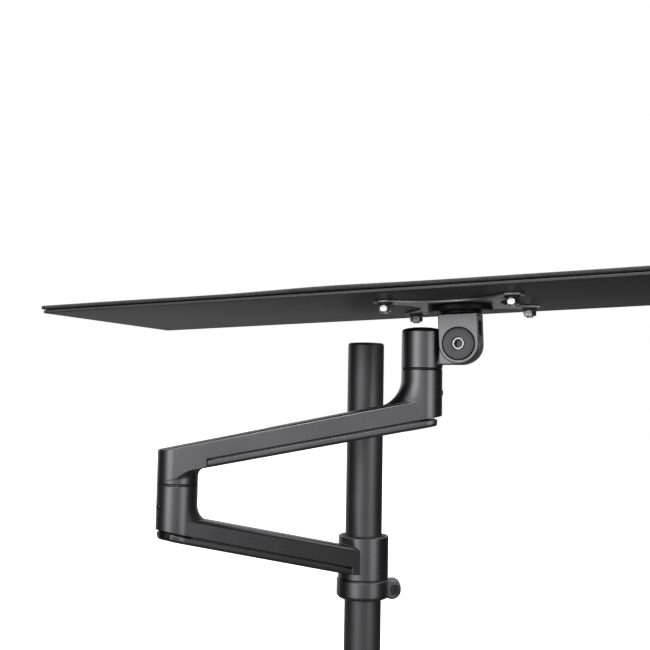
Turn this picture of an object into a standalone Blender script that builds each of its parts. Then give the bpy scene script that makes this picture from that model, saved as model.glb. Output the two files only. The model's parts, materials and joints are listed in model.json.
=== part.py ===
"""A desk-pole arm: two swinging links, a swivel and tilt head, and a flat tray bolted to it.

The origin is on the pole's axis, where the clamp's pad rests on the desk. +Z is up, +X runs
along the tray and -Y is the user's side. Lengths are in metres and angles in degrees.
"""

import math

import bmesh
import bpy
from mathutils import Matrix

GAP = 0.0003  # clearance between pieces that touch

# Pose at rest: compass bearings about +Z, and the tray's lean about +Y
LOWER_BEARING = -123.3
UPPER_BEARING = 17.9
HEAD_BEARING = 0.0
COLLAR_BEARING = 18.0
TRAY_LEAN = -2.2

# Pole and desk clamp
POLE_RADIUS = 0.0175
POLE_WALL = 0.002
POLE_TOP = 0.400
PAD_SIZE = (0.104, 0.070, 0.002)
PAD_CENTRE_Y = -0.010
SOCKET_SCREW_REACH = 0.0300
GRUB_BEARING = 200
BASE_WIDTH = 0.108
BASE_FRONT = -0.050
BASE_BACK = 0.036
BASE_THICKNESS = 0.006
FLANGE_FOOT = -0.026
BRACKET_WIDTH = 0.064
JAW_TOP = -0.094
JAW_THICKNESS = 0.006
JAW_FRONT = -0.018
SCREW_RADIUS = 0.005
SCREW_FOOT = -0.150
DESK_SLOT = 0.030  # thickness of the desk that the clamp is set to

# Height collar and the lower arm's sleeve
COLLAR_BOTTOM = 0.1600
COLLAR_TOP = 0.1750
COLLAR_RADIUS = 0.0253
LUG_RADIUS = 0.0088
LUG_REACH = 0.0276
LUG_SCREW_REACH = 0.0312
SLEEVE_BOTTOM = 0.1776
SLEEVE_TOP = 0.2171
SLEEVE_RADIUS = 0.0240
BUSH_FLANGE = 0.0016

# Arms: a section is a tapering channel between a top line and a parting line
LOWER_REACH = 0.2010
UPPER_REACH = 0.2025
BARREL_RADIUS = 0.0170
ARM_HALF_WIDTH = 0.0168
ARM_WALL = 0.0030
EDGE_ROUND = 0.0025
COVER_START = 0.0275
COVER_OVERHANG = 0.0122
COVER_DEPTH = 0.0070
COVER_WALL = 0.0018
COVER_SEAM = 0.0014  # the open line between an arm and its cover
LOWER_TOP = (0.2045, 0.2270)  # height over the inner axis, rise per metre
LOWER_PARTING = (0.1848, 0.2441)
UPPER_TOP = (0.3065, 0.2130)
UPPER_PARTING = (0.2915, 0.2000)
LOWER_BARREL_TOP = 0.2742
UPPER_BARREL_FOOT = 0.2756
UPPER_BARREL_TOP = 0.3731
LOWER_BLEND = 0.0110
UPPER_BLEND = 0.0187
SET_SCREW_RISE = 0.0225
SPINDLE_RADIUS = 0.0080
BUSH_RADIUS = 0.0105

# Head
HEAD_FOOT = 0.3745
HEAD_TOP = 0.4052
HEAD_CAP_TOP = 0.4088
TILT_REACH = 0.0331
TILT_HEIGHT = 0.3946
KNUCKLE_RADIUS = 0.0170
KNUCKLE_HALF_DEPTH = 0.0068
EAR_INNER = 0.0082
EAR_OUTER = 0.0122
EAR_RADIUS = 0.0164
BRIDGE_FOOT = 0.0184
BRIDGE_TOP = 0.0247
TILT_DISC_RADIUS = 0.0131
TILT_BOLT_RADIUS = 0.0040

# Tray, measured from the tilt axis along the tray's normal
HUB_RADIUS = 0.0267
HUB_STEP_RADIUS = 0.0172
HUB_BOTTOM = 0.0268
HUB_TOP = 0.0314
VESA_PITCH = 0.100
VESA_THICKNESS = 0.0020
VESA_TIP_RADIUS = 0.0090
VESA_WAIST = 0.0340
TRAY_UNDERSIDE = 0.03405
TRAY_LENGTH = 0.6700
TRAY_DEPTH = 0.2090
TRAY_THICKNESS = 0.0024
MAT_THICKNESS = 0.0034
MAT_OVERHANG = 0.0010
MAT_SEAM = 0.0007

ROUND = 40  # sides of the pole and the barrels
MEDIUM_ROUND = 24  # sides of a spindle
SMALL_ROUND = 12  # sides of a screw

FINISHES = {
    "pole_black": ((0.030, 0.030, 0.032, 1), 0.35, 0.6),
    "arm_black": ((0.045, 0.045, 0.048, 1), 0.38, 0.4),
    "cover_plastic": ((0.040, 0.040, 0.042, 1), 0.50, 0.0),
    "black_plastic": ((0.012, 0.012, 0.013, 1), 0.55, 0.0),
    "black_steel": ((0.025, 0.025, 0.027, 1), 0.40, 0.7),
    "zinc_steel": ((0.620, 0.620, 0.610, 1), 0.28, 1.0),
    "spindle_steel": ((0.450, 0.450, 0.460, 1), 0.30, 1.0),
    "bush_plastic": ((0.055, 0.055, 0.055, 1), 0.60, 0.0),
    "vesa_grey": ((0.190, 0.190, 0.200, 1), 0.42, 0.5),
    "tray_black": ((0.035, 0.035, 0.037, 1), 0.50, 0.4),
    "mat_rubber": ((0.020, 0.020, 0.021, 1), 0.90, 0.0),
    "pad_rubber": ((0.015, 0.015, 0.015, 1), 0.95, 0.0),
}


def clear_scene():
    for obj in list(bpy.data.objects):
        bpy.data.objects.remove(obj)


def new_collection(name):
    collection = bpy.data.collections.new(name)
    bpy.context.scene.collection.children.link(collection)
    return collection


def make_materials():
    made = {}
    for name, (color, roughness, metallic) in FINISHES.items():
        material = bpy.data.materials.new(name)
        material.use_nodes = True
        shader = material.node_tree.nodes["Principled BSDF"]
        shader.inputs["Base Color"].default_value = color
        shader.inputs["Roughness"].default_value = roughness
        shader.inputs["Metallic"].default_value = metallic
        made[name] = material
    return made


clear_scene()
PARTS = new_collection("pole_arm_with_tray")
CUTTERS = new_collection("cutters")
MATERIALS = make_materials()


# ---------------------------------------------------------------- shape helpers


def empty(name, parent=None, location=(0, 0, 0), rotation=(0, 0, 0)):
    obj = bpy.data.objects.new(name, None)
    obj.empty_display_size = 0.02
    obj.location = location
    obj.rotation_euler = [math.radians(a) for a in rotation]
    obj.parent = parent
    PARTS.objects.link(obj)
    return obj


def place(name, mesh, finish, parent, location=(0, 0, 0)):
    """An object of the model, or a cutter when finish is None."""
    obj = bpy.data.objects.new(name, mesh)
    obj.parent = parent
    obj.location = location
    if finish is None:
        CUTTERS.objects.link(obj)
        obj.hide_render = True
        obj.display_type = "WIRE"
        return obj
    PARTS.objects.link(obj)
    mesh.materials.append(MATERIALS[finish])
    mesh.shade_smooth()
    mesh.set_sharp_from_angle(angle=math.radians(30))
    return obj


def solid(shape):
    """A mesh from a bmesh, with its faces turned outwards."""
    bmesh.ops.recalc_face_normals(shape, faces=shape.faces)
    mesh = bpy.data.meshes.new("solid")
    shape.to_mesh(mesh)
    shape.free()
    return mesh


def cylinder(radius, low, high, sides=SMALL_ROUND, axis="Z", centre=(0, 0), top_radius=None):
    """A cylinder from low to high along an axis, centred on the two other coordinates."""
    shape = bmesh.new()
    bmesh.ops.create_cone(
        shape,
        cap_ends=True,
        segments=sides,
        radius1=radius,
        radius2=radius if top_radius is None else top_radius,
        depth=high - low,
    )
    first, second = centre
    turn = {
        "Z": Matrix.Translation((first, second, (low + high) / 2)),
        "X": Matrix.Translation(((low + high) / 2, first, second)) @ Matrix.Rotation(math.pi / 2, 4, "Y"),
        "Y": Matrix.Translation((first, (low + high) / 2, second)) @ Matrix.Rotation(-math.pi / 2, 4, "X"),
    }[axis]
    bmesh.ops.transform(shape, matrix=turn, verts=shape.verts)
    return solid(shape)


def box(low, high):
    shape = bmesh.new()
    bmesh.ops.create_cube(shape, size=1)
    size = [b - a for a, b in zip(low, high)]
    middle = [(a + b) / 2 for a, b in zip(low, high)]
    bmesh.ops.scale(shape, vec=size, verts=shape.verts)
    bmesh.ops.translate(shape, vec=middle, verts=shape.verts)
    return solid(shape)


def slab(outline, low, high, upright=False):
    """A flat outline with thickness. It lies in XY, or stands in XZ and is thick along Y if upright."""
    curve = bpy.data.curves.new("outline", "CURVE")
    curve.dimensions = "2D"
    curve.fill_mode = "BOTH"
    curve.extrude = (high - low) / 2
    spline = curve.splines.new("POLY")
    spline.points.add(len(outline) - 1)
    for point, (x, y) in zip(spline.points, outline):
        point.co = (x, y, 0, 1)
    spline.use_cyclic_u = True
    helper = bpy.data.objects.new("outline", curve)
    CUTTERS.objects.link(helper)
    graph = bpy.context.evaluated_depsgraph_get()
    mesh = bpy.data.meshes.new_from_object(helper.evaluated_get(graph))
    bpy.data.objects.remove(helper)
    shape = bmesh.new()
    shape.from_mesh(mesh)
    bmesh.ops.remove_doubles(shape, verts=shape.verts, dist=0.000001)
    bmesh.ops.dissolve_limit(shape, angle_limit=0.0001, verts=shape.verts, edges=shape.edges)
    move = Matrix.Translation((0, 0, (low + high) / 2))
    if upright:
        move = Matrix.Rotation(math.pi / 2, 4, "X") @ Matrix.Translation((0, 0, -(low + high) / 2))
    bmesh.ops.transform(shape, matrix=move, verts=shape.verts)
    return solid(shape)


def turned(name, profile, finish, parent, location=(0, 0, 0), axis="Z", sides=ROUND):
    """A lathe piece. The profile of (radius, height) runs down the outside, top to bottom.

    A profile that starts and ends on the axis is open, and any other is a closed ring.
    """
    shape = bmesh.new()
    verts = [shape.verts.new((radius, 0, height)) for radius, height in profile]
    for a, b in zip(verts, verts[1:]):
        shape.edges.new((a, b))
    if profile[0][0] > 0:
        shape.edges.new((verts[-1], verts[0]))
    mesh = bpy.data.meshes.new(name)
    shape.to_mesh(mesh)
    shape.free()
    obj = place(name, mesh, finish, parent, location)
    if axis == "Y":
        obj.rotation_euler = (math.radians(90), 0, 0)
    screw = obj.modifiers.new("Turn", "SCREW")
    screw.steps = sides
    screw.render_steps = sides
    screw.use_merge_vertices = True
    screw.merge_threshold = 0.00001
    return obj


def ring(outer, inner, low, high):
    """The profile of a plain ring."""
    return [(outer, high), (outer, low), (inner, low), (inner, high)]


def combine(target, tool, operation="DIFFERENCE", solver="EXACT"):
    modifier = target.modifiers.new(f"{operation.title()} {tool.name}", "BOOLEAN")
    modifier.operation = operation
    modifier.solver = solver
    modifier.object = tool


def cut(target, name, mesh, solver="EXACT"):
    """Cuts a shape, given in the target's own parent frame, out of the target."""
    combine(target, place(f"cut_{name}", mesh, None, target.parent), "DIFFERENCE", solver)


def join(target, name, mesh):
    combine(target, place(f"add_{name}", mesh, None, target.parent), "UNION")


def soften(obj, width, segments=1, angle=40):
    bevel = obj.modifiers.new("Soften", "BEVEL")
    bevel.width = width
    bevel.segments = segments
    bevel.limit_method = "ANGLE"
    bevel.angle_limit = math.radians(angle)


def moved(mesh, offset):
    mesh.transform(Matrix.Translation(offset))
    return mesh


def arc(centre, radius, start, end, steps):
    """Points on an arc from start to end, in degrees."""
    angles = [math.radians(start + (end - start) * i / steps) for i in range(steps + 1)]
    return [(centre[0] + radius * math.cos(a), centre[1] + radius * math.sin(a)) for a in angles]


def rounded_rectangle(length, width, radius, steps=6):
    x, y = length / 2 - radius, width / 2 - radius
    points = []
    for i, (cx, cy) in enumerate([(x, y), (-x, y), (-x, -y), (x, -y)]):
        points += arc((cx, cy), radius, 90 * i, 90 * i + 90, steps)
    return points


def on_line(line, s):
    """Height of a sloping line, given as height over the axis and rise per metre."""
    return line[0] + line[1] * s


def tangent_arc(line, wall, radius, steps=8):
    """The concave blend from a rising line up to a vertical wall at s = wall, from low to high."""
    lean = math.atan(line[1])
    centre_s = wall - radius
    centre_z = on_line(line, centre_s) + radius / math.cos(lean)
    return arc((centre_s, centre_z), radius, math.degrees(lean) - 90, 0, steps)


# ---------------------------------------------------------------- pole and desk clamp


def make_post():
    base_top = PAD_SIZE[2] + GAP + BASE_THICKNESS
    pole_foot = base_top + GAP
    inner = POLE_RADIUS - POLE_WALL
    turned("pole", ring(POLE_RADIUS, inner, pole_foot, POLE_TOP), "pole_black", None)
    cap_low = POLE_TOP + GAP
    turned(
        "pole_cap",
        [(0, cap_low + 0.0020), (0.0158, cap_low + 0.0020), (0.0171, cap_low + 0.0009), (0.0171, cap_low)]
        + [(inner - GAP, cap_low), (inner - GAP, cap_low - 0.012), (inner - 0.002, cap_low - 0.012)]
        + [(inner - 0.002, cap_low - 0.0004), (0, cap_low - 0.0004)],
        "black_plastic",
        None,
    )
    bore = POLE_RADIUS + GAP
    socket = turned(
        "pole_socket",
        [(0.0235, pole_foot + 0.040), (0.0250, pole_foot + 0.0385), (0.0250, pole_foot + 0.0085)]
        + [(0.0270, pole_foot + 0.0060), (0.0360, pole_foot + 0.0060), (0.0360, pole_foot)]
        + [(bore, pole_foot), (bore, pole_foot + 0.040)],
        "arm_black",
        None,
        sides=ROUND,
    )
    base = place("base_plate", base_profile(), "arm_black", None)
    soften(base, 0.0012)
    seat = pole_foot + 0.0030
    for i in range(3):
        angle = math.radians(90 + 120 * i)
        spot = (SOCKET_SCREW_REACH * math.cos(angle), SOCKET_SCREW_REACH * math.sin(angle), 0)
        hole = moved(cylinder(0.0025 + GAP, -0.001, 0.02), spot)
        cut(socket, f"socket_hole_{i + 1}", hole)
        cut(base, f"base_hole_{i + 1}", hole.copy())
        cut(socket, f"socket_seat_{i + 1}", moved(cylinder(0.0045 + GAP, seat - GAP, 0.03), spot))
        screw = cap_screw(0.0045, 0.0026, 0.0025, seat - PAD_SIZE[2] - 0.0010)
        place(f"socket_screw_{i + 1}", moved(screw, (*spot[:2], seat)), "black_steel", None)
    grub_height = pole_foot + 0.028
    turn = Matrix.Rotation(math.radians(GRUB_BEARING), 4, "Z")
    hole = cylinder(0.0030 + GAP, 0.012, 0.040, axis="X", centre=(0, grub_height))
    hole.transform(turn)
    cut(socket, "grub_hole", hole)
    grub = grub_screw(0.0030, bore + 0.0002, 0.0243, grub_height)
    grub.transform(turn)
    place("socket_grub_screw", grub, "black_steel", None)
    pad = slab(rounded_rectangle(PAD_SIZE[0], PAD_SIZE[1], 0.006), 0, PAD_SIZE[2])
    place("desk_pad", pad, "pad_rubber", None, (0, PAD_CENTRE_Y, 0))


def base_profile():
    """Desk plate bent down at the back into a flange."""
    low, high = PAD_SIZE[2] + GAP, PAD_SIZE[2] + GAP + BASE_THICKNESS
    back = BASE_BACK + BASE_THICKNESS
    bend = 0.010
    outline = [(BASE_FRONT, low), (BASE_BACK - 0.004, low), (BASE_BACK, low - 0.004)]
    outline += [(BASE_BACK, FLANGE_FOOT), (back, FLANGE_FOOT)]
    outline += arc((back - bend, high - bend), bend, 0, 90, 6) + [(BASE_FRONT, high)]
    mesh = slab([(-y, z) for y, z in reversed(outline)], -BASE_WIDTH / 2, BASE_WIDTH / 2, upright=True)
    mesh.transform(Matrix.Rotation(math.radians(-90), 4, "Z"))
    return mesh


def cap_screw(head_radius, head_height, shank_radius, shank_length):
    """A hexagon-socket screw standing on z = 0, head up."""
    shape = bmesh.new()
    top = head_height
    profile = [(0, -shank_length), (shank_radius, -shank_length), (shank_radius, 0), (head_radius, 0)]
    profile += [(head_radius, top - 0.0004), (head_radius - 0.0004, top)]
    socket = head_radius * 0.55
    levels = [[(r * math.cos(a), r * math.sin(a), z) for a in ring_angles()] for r, z in profile[1:]]
    rows = [[shape.verts.new(p) for p in level] for level in levels]
    for z in (top, top - head_height * 0.55):
        rows.append([shape.verts.new(p) for p in hexagon_points(socket, z)])
    count = SMALL_ROUND
    for a, b in zip(rows, rows[1:]):
        for i in range(count):
            shape.faces.new((a[i], a[(i + 1) % count], b[(i + 1) % count], b[i]))
    shape.faces.new(list(reversed(rows[0])))
    shape.faces.new(rows[-1])
    return solid(shape)


def ring_angles():
    return [2 * math.pi * i / SMALL_ROUND for i in range(SMALL_ROUND)]


def hexagon_points(radius, z):
    """Points around a hexagon, one for each side of a round, so that the two can be joined."""
    points = []
    for a in ring_angles():
        within = (a + math.pi / 6) % (math.pi / 3) - math.pi / 6
        reach = radius * math.cos(math.pi / 6) / math.cos(within)
        points.append((reach * math.cos(a), reach * math.sin(a), z))
    return points


def grub_screw(radius, near, far, height):
    """A headless socket screw along +X, between two distances from the axis."""
    mesh = cap_screw(radius, 0.0030, radius * 0.6, far - near - 0.0030)
    mesh.transform(Matrix.Translation((far - 0.0030, 0, height)) @ Matrix.Rotation(math.pi / 2, 4, "Y"))
    return mesh


def hex_nut(across_flats, bore, low, high):
    shape = bmesh.new()
    outer = across_flats / 2 / math.cos(math.pi / 6)
    rows = []
    for kind, radius, z in (("in", bore, low), ("hex", outer, low), ("hex", outer, high), ("in", bore, high)):
        if kind == "hex":
            points = hexagon_points(radius, z)
        else:
            points = [(radius * math.cos(a), radius * math.sin(a), z) for a in ring_angles()]
        rows.append([shape.verts.new(p) for p in points])
    count = SMALL_ROUND
    for a, b in zip(rows, rows[1:] + rows[:1]):
        for i in range(count):
            shape.faces.new((a[i], a[(i + 1) % count], b[(i + 1) % count], b[i]))
    return solid(shape)


def make_clamp():
    back = BASE_BACK + BASE_THICKNESS + GAP
    outer = back + JAW_THICKNESS
    bend = 0.012
    jaw_low = JAW_TOP - JAW_THICKNESS
    top = PAD_SIZE[2] - 0.004
    outline = [(JAW_FRONT, jaw_low)] + arc((outer - bend, jaw_low + bend), bend, -90, 0, 6)
    outline += [(outer, top), (back, top)]
    outline += arc((back - bend / 2, JAW_TOP + bend / 2), bend / 2, 0, -90, 4)
    outline += [(JAW_FRONT, JAW_TOP)]
    mesh = slab([(-y, z) for y, z in reversed(outline)], -BRACKET_WIDTH / 2, BRACKET_WIDTH / 2, upright=True)
    mesh.transform(Matrix.Rotation(math.radians(-90), 4, "Z"))
    bracket = place("clamp_bracket", mesh, "arm_black", None)
    soften(bracket, 0.0010)
    base = bpy.data.objects["base_plate"]
    for side, x in (("left", -0.020), ("right", 0.020)):
        spot = (x, outer + GAP, -0.013)
        screw = cap_screw(0.0050, 0.0035, 0.0030, JAW_THICKNESS + BASE_THICKNESS)
        screw.transform(Matrix.Translation(spot) @ Matrix.Rotation(-math.pi / 2, 4, "X"))
        place(f"bracket_screw_{side}", screw, "zinc_steel", None)
        hole = cylinder(0.0030 + GAP, BASE_BACK - 0.004, outer + 0.004, axis="Y", centre=(x, spot[2]))
        cut(bracket, f"bracket_hole_{side}", hole)
        cut(base, f"flange_hole_{side}", hole.copy())
    join(bracket, "weld_nut", cylinder(0.0110, JAW_TOP - 0.002, JAW_TOP + 0.0080, 6))
    cut(bracket, "screw_hole", cylinder(SCREW_RADIUS + GAP, jaw_low - 0.004, JAW_TOP + 0.012))


def make_clamp_screw(slide):
    """The foot slides with the screw's travel, and the screw turns inside it."""
    pad_top = -DESK_SLOT
    turned(
        "clamp_foot_pad",
        [(0, pad_top), (0.0205, pad_top), (0.0210, pad_top - 0.0005)]
        + [(0.0210, pad_top - 0.0020), (0, pad_top - 0.0020)],
        "pad_rubber",
        slide,
    )
    disc_top = pad_top - 0.0020 - GAP
    bore = SCREW_RADIUS + GAP
    turned(
        "clamp_foot",
        [(0, disc_top), (0.0215, disc_top), (0.0220, disc_top - 0.0025), (0.0110, disc_top - 0.0045)]
        + [(0.0095, disc_top - 0.0110), (bore, disc_top - 0.0110)]
        + [(bore, disc_top - 0.0030), (0, disc_top - 0.0030)],
        "black_steel",
        slide,
    )
    turn = empty("clamp_screw_axis", slide)
    rod_top = disc_top - 0.0030 - GAP
    turned(
        "clamp_screw",
        [(0, rod_top), (SCREW_RADIUS - 0.0010, rod_top), (SCREW_RADIUS, rod_top - 0.0010)]
        + [(SCREW_RADIUS, SCREW_FOOT), (0, SCREW_FOOT)],
        "spindle_steel",
        turn,
        sides=SMALL_ROUND,
    )
    lobes, waist, swell = 6, 0.0255, 0.0020
    outline = []
    for i in range(48):
        a = 2 * math.pi * i / 48
        reach = waist + swell * math.cos(lobes * a)
        outline.append((reach * math.cos(a), reach * math.sin(a)))
    knob_top = SCREW_FOOT + 0.0080
    knob = place("clamp_knob", slab(outline, SCREW_FOOT - 0.0060, knob_top), "black_plastic", turn)
    soften(knob, 0.0020, 2)
    join(knob, "knob_neck", cylinder(0.0095, knob_top - 0.002, knob_top + 0.0060))
    cut(knob, "knob_bore", cylinder(SCREW_RADIUS + GAP, SCREW_FOOT - GAP, knob_top + 0.02))


# ---------------------------------------------------------------- height collar


def make_collar(body):
    bore = POLE_RADIUS + GAP
    low, high, outer = COLLAR_BOTTOM, COLLAR_TOP, COLLAR_RADIUS
    corner = 0.0040
    lower_edge = arc((outer - corner, low + corner), corner, 0, -90, 4)
    profile = [(outer - 0.0006, high), (outer, high - 0.0006)] + lower_edge + [(bore, low), (bore, high)]
    collar = turned("height_collar", profile, "arm_black", body, sides=ROUND)
    middle = (low + high) / 2 + 0.0002
    lug = cylinder(LUG_RADIUS, -0.0085, 0.0085, sides=MEDIUM_ROUND, axis="Y", centre=(LUG_REACH, middle))
    join(collar, "collar_lug", lug)
    cut(collar, "collar_bore", cylinder(bore, low - 0.005, high + 0.005, sides=ROUND))
    cut(collar, "collar_split", box((0.010, -0.0011, low - 0.01), (0.060, 0.0011, high + 0.01)))
    shank, head, head_depth = 0.0025, 0.0043, 0.0040
    seat = 0.0085 - head_depth + 0.0005
    spot = (LUG_SCREW_REACH, middle)
    cut(collar, "lug_shank", cylinder(shank + GAP, -0.02, 0.02, axis="Y", centre=spot))
    cut(collar, "lug_seat", cylinder(head + GAP, -0.02, -seat + GAP, axis="Y", centre=spot))
    nut_seat = box((spot[0] - 0.0043, seat - GAP, middle - 0.0050), (0.06, 0.02, middle + 0.0050))
    cut(collar, "lug_nut_seat", nut_seat)
    screw = cap_screw(head, head_depth, shank, 2 * seat + 0.0020)
    screw.transform(Matrix.Translation((spot[0], -seat, middle)) @ Matrix.Rotation(math.pi / 2, 4, "X"))
    place("collar_screw", screw, "black_steel", body)
    nut = hex_nut(0.0080, shank + GAP, 0, 0.0035)
    nut.transform(Matrix.Translation((spot[0], seat, middle)) @ Matrix.Rotation(-math.pi / 2, 4, "X"))
    place("collar_nut", nut, "zinc_steel", body)


# ---------------------------------------------------------------- arms


def half_plane_below(line, s_low, s_high, drop=0.03):
    """A wide block under a sloping line."""
    outline = [(s_low, on_line(line, s_low) - drop), (s_high, on_line(line, s_high) - drop)]
    outline += [(s_high, on_line(line, s_high)), (s_low, on_line(line, s_low))]
    return slab(outline, -0.03, 0.03, upright=True)


def beam(name, top, parting, start, reach, blend, parent):
    """The hollow bar between an arm's two axes, open underneath along its cover."""
    bottom = (parting[0] - COVER_DEPTH, parting[1])
    outline = [(start, on_line(bottom, start)), (COVER_START, on_line(bottom, COVER_START))]
    outline += [(COVER_START, on_line(parting, COVER_START)), (reach, on_line(parting, reach))]
    rise = tangent_arc(top, reach - BARREL_RADIUS + 0.0005, blend)
    outline += [(reach, rise[-1][1])] + list(reversed(rise)) + [(start, on_line(top, start))]
    mesh = slab(outline, -ARM_HALF_WIDTH, ARM_HALF_WIDTH, upright=True)
    shape = bmesh.new()
    shape.from_mesh(mesh)
    edges = [e for e in shape.edges if is_top_edge(e, top, reach - BARREL_RADIUS)]
    bmesh.ops.bevel(shape, geom=edges, offset=EDGE_ROUND, segments=2, profile=0.5, affect="EDGES")
    return place(name, solid(shape), "arm_black", parent)


def is_top_edge(edge, top, limit):
    """Whether an edge runs along the top line, on either side of the bar."""
    a, b = (v.co for v in edge.verts)
    along = abs(a.x - b.x) > 0.02 and abs(a.y - b.y) < 0.0001
    return along and all(abs(p.z - on_line(top, p.x)) < 0.0004 and p.x < limit for p in (a, b))


def cut_channel(arm, name, top, parting, start, end):
    """The cable channel, closed later by the cover."""
    roof = (top[0] - 0.0035, top[1])
    outline = [(start, on_line(parting, start) - 0.012), (end, on_line(parting, end) - 0.012)]
    outline += [(end, on_line(roof, end)), (start, on_line(roof, start))]
    half = ARM_HALF_WIDTH - ARM_WALL
    cut(arm, name, slab(outline, -half, half, upright=True))


def stadium(length, radius, steps=16):
    """The plan of an arm: straight sides and a round end about each axis."""
    return arc((length, 0), radius, -90, 90, steps) + arc((0, 0), radius, 90, 270, steps)


def make_cover(name, parting, reach, parent):
    """A trough that clips under an arm and stays open at its outer end."""
    top = (parting[0] - COVER_SEAM, parting[1])
    bottom = (parting[0] - COVER_DEPTH, parting[1])
    start, end = COVER_START + 0.0004, reach + COVER_OVERHANG
    outline = [(start, on_line(bottom, start)), (end, on_line(bottom, end))]
    outline += [(end, on_line(top, end)), (start, on_line(top, start))]
    cover = place(name, slab(outline, -0.03, 0.03, upright=True), "cover_plastic", parent)
    plan = slab(stadium(reach, ARM_HALF_WIDTH), 0.10, 0.40)
    combine(cover, place(f"plan_{name}", plan, None, parent), "INTERSECT")
    floor = (bottom[0] + COVER_WALL, bottom[1])
    inner_start, past_end = start + COVER_WALL, end + 0.01
    inside = [(inner_start, on_line(floor, inner_start)), (past_end, on_line(floor, past_end))]
    inside += [(past_end, on_line(top, end) + 0.02), (inner_start, on_line(top, start) + 0.02)]
    pocket = place(f"pocket_{name}", slab(inside, -0.03, 0.03, upright=True), None, parent)
    inner_plan = slab(stadium(reach + 0.02, ARM_HALF_WIDTH - COVER_WALL), 0.10, 0.40)
    combine(pocket, place(f"inner_{name}", inner_plan, None, parent), "INTERSECT")
    combine(cover, pocket)
    slot_start = start + 0.008
    slot_z = on_line(bottom, slot_start)
    slot = box((slot_start, -0.0080, slot_z - 0.01), (slot_start + 0.020, 0.0080, slot_z + 0.012))
    cut(cover, f"{name}_cable_slot", slot)


def make_end_plug(body):
    """The round plug that fills the open end of the lower arm's cover, under the barrel."""
    bottom = (LOWER_PARTING[0] - COVER_DEPTH, LOWER_PARTING[1])
    floor = (bottom[0] + COVER_WALL + GAP, LOWER_PARTING[1])
    top = (LOWER_PARTING[0] - GAP, LOWER_PARTING[1])
    radius = ARM_HALF_WIDTH - COVER_WALL - GAP
    start, end = LOWER_REACH - 0.0100, LOWER_REACH + 0.0300
    step = LOWER_REACH + COVER_OVERHANG + GAP
    outline = [(start, on_line(floor, start)), (step, on_line(floor, step)), (step, on_line(bottom, step))]
    outline += [(end, on_line(bottom, end)), (end, on_line(top, end)), (start, on_line(top, start))]
    plug = place("lower_end_plug", slab(outline, -0.03, 0.03, upright=True), "black_plastic", body)
    plan = place("plan_end_plug", cylinder(radius, 0.10, 0.40, ROUND, centre=(LOWER_REACH, 0)), None, body)
    combine(plug, plan, "INTERSECT")


def make_set_screw(arm, name, reach, height):
    hole = cylinder(0.0022 + GAP, reach + 0.004, reach + 0.030, axis="X", centre=(0, height))
    cut(arm, name, hole)
    screw = grub_screw(0.0022, reach + SPINDLE_RADIUS + 0.0004, reach + BARREL_RADIUS + 0.0007, height)
    place(name, screw, "black_steel", arm.parent)


def make_lower_arm(body):
    arm = beam("lower_arm", LOWER_TOP, LOWER_PARTING, 0.0100, LOWER_REACH, LOWER_BLEND, body)
    join(arm, "sleeve", cylinder(SLEEVE_RADIUS, SLEEVE_BOTTOM, SLEEVE_TOP, sides=ROUND))
    centre = (LOWER_REACH, 0)
    barrel_low = on_line(LOWER_PARTING, LOWER_REACH) - 0.012
    join(arm, "lower_barrel", cylinder(BARREL_RADIUS, barrel_low, LOWER_BARREL_TOP, ROUND, centre=centre))
    cut(arm, "lower_parting", half_plane_below(LOWER_PARTING, LOWER_REACH - 0.060, LOWER_REACH + 0.040))
    bush_outer = SLEEVE_RADIUS - 0.0030
    cut(arm, "sleeve_bore", cylinder(bush_outer, SLEEVE_BOTTOM - 0.01, SLEEVE_TOP + 0.01, sides=ROUND))
    channel_end = LOWER_REACH - BARREL_RADIUS - ARM_WALL
    cut_channel(arm, "lower_channel", LOWER_TOP, LOWER_PARTING, COVER_START + ARM_WALL, channel_end)
    spindle_low = on_line(LOWER_PARTING, LOWER_REACH) + 0.0070
    bore = cylinder(SPINDLE_RADIUS + GAP, spindle_low - GAP, 0.30, centre=centre)
    cut(arm, "lower_spindle_bore", bore)
    make_set_screw(arm, "elbow_set_screw", LOWER_REACH, on_line(LOWER_PARTING, LOWER_REACH) + SET_SCREW_RISE)
    bush_inner = POLE_RADIUS + GAP
    middle = (SLEEVE_TOP + SLEEVE_BOTTOM) / 2
    lip = 0.0006
    turned(
        "sleeve_bush_upper",
        [(bush_outer - GAP, SLEEVE_TOP), (bush_outer - GAP, middle + 0.004), (bush_inner, middle + 0.004)]
        + [(bush_inner, SLEEVE_TOP + lip), (bush_outer - 0.0008, SLEEVE_TOP + lip)],
        "bush_plastic",
        body,
        sides=ROUND,
    )
    flange_low = SLEEVE_BOTTOM - GAP - BUSH_FLANGE
    turned(
        "sleeve_bush_lower",
        [(bush_outer - GAP, middle - 0.004), (bush_outer - GAP, SLEEVE_BOTTOM - GAP)]
        + [(SLEEVE_RADIUS - 0.0002, SLEEVE_BOTTOM - GAP), (SLEEVE_RADIUS - 0.0002, flange_low)]
        + [(bush_inner, flange_low), (bush_inner, middle - 0.004)],
        "bush_plastic",
        body,
        sides=ROUND,
    )
    make_cover("lower_cable_cover", LOWER_PARTING, LOWER_REACH, body)
    make_end_plug(body)
    spindle_high = on_line(UPPER_TOP, 0) - 0.0090
    turned(
        "elbow_spindle",
        [(0, spindle_high), (SPINDLE_RADIUS - 0.0008, spindle_high), (SPINDLE_RADIUS, spindle_high - 0.0008)]
        + [(SPINDLE_RADIUS, spindle_low), (0, spindle_low)],
        "spindle_steel",
        body,
        location=(LOWER_REACH, 0, 0),
        sides=MEDIUM_ROUND,
    )
    thrust = ring(BARREL_RADIUS, SPINDLE_RADIUS + GAP, LOWER_BARREL_TOP + GAP, UPPER_BARREL_FOOT - GAP)
    turned("elbow_washer", thrust, "bush_plastic", body, location=(LOWER_REACH, 0, 0))


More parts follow.
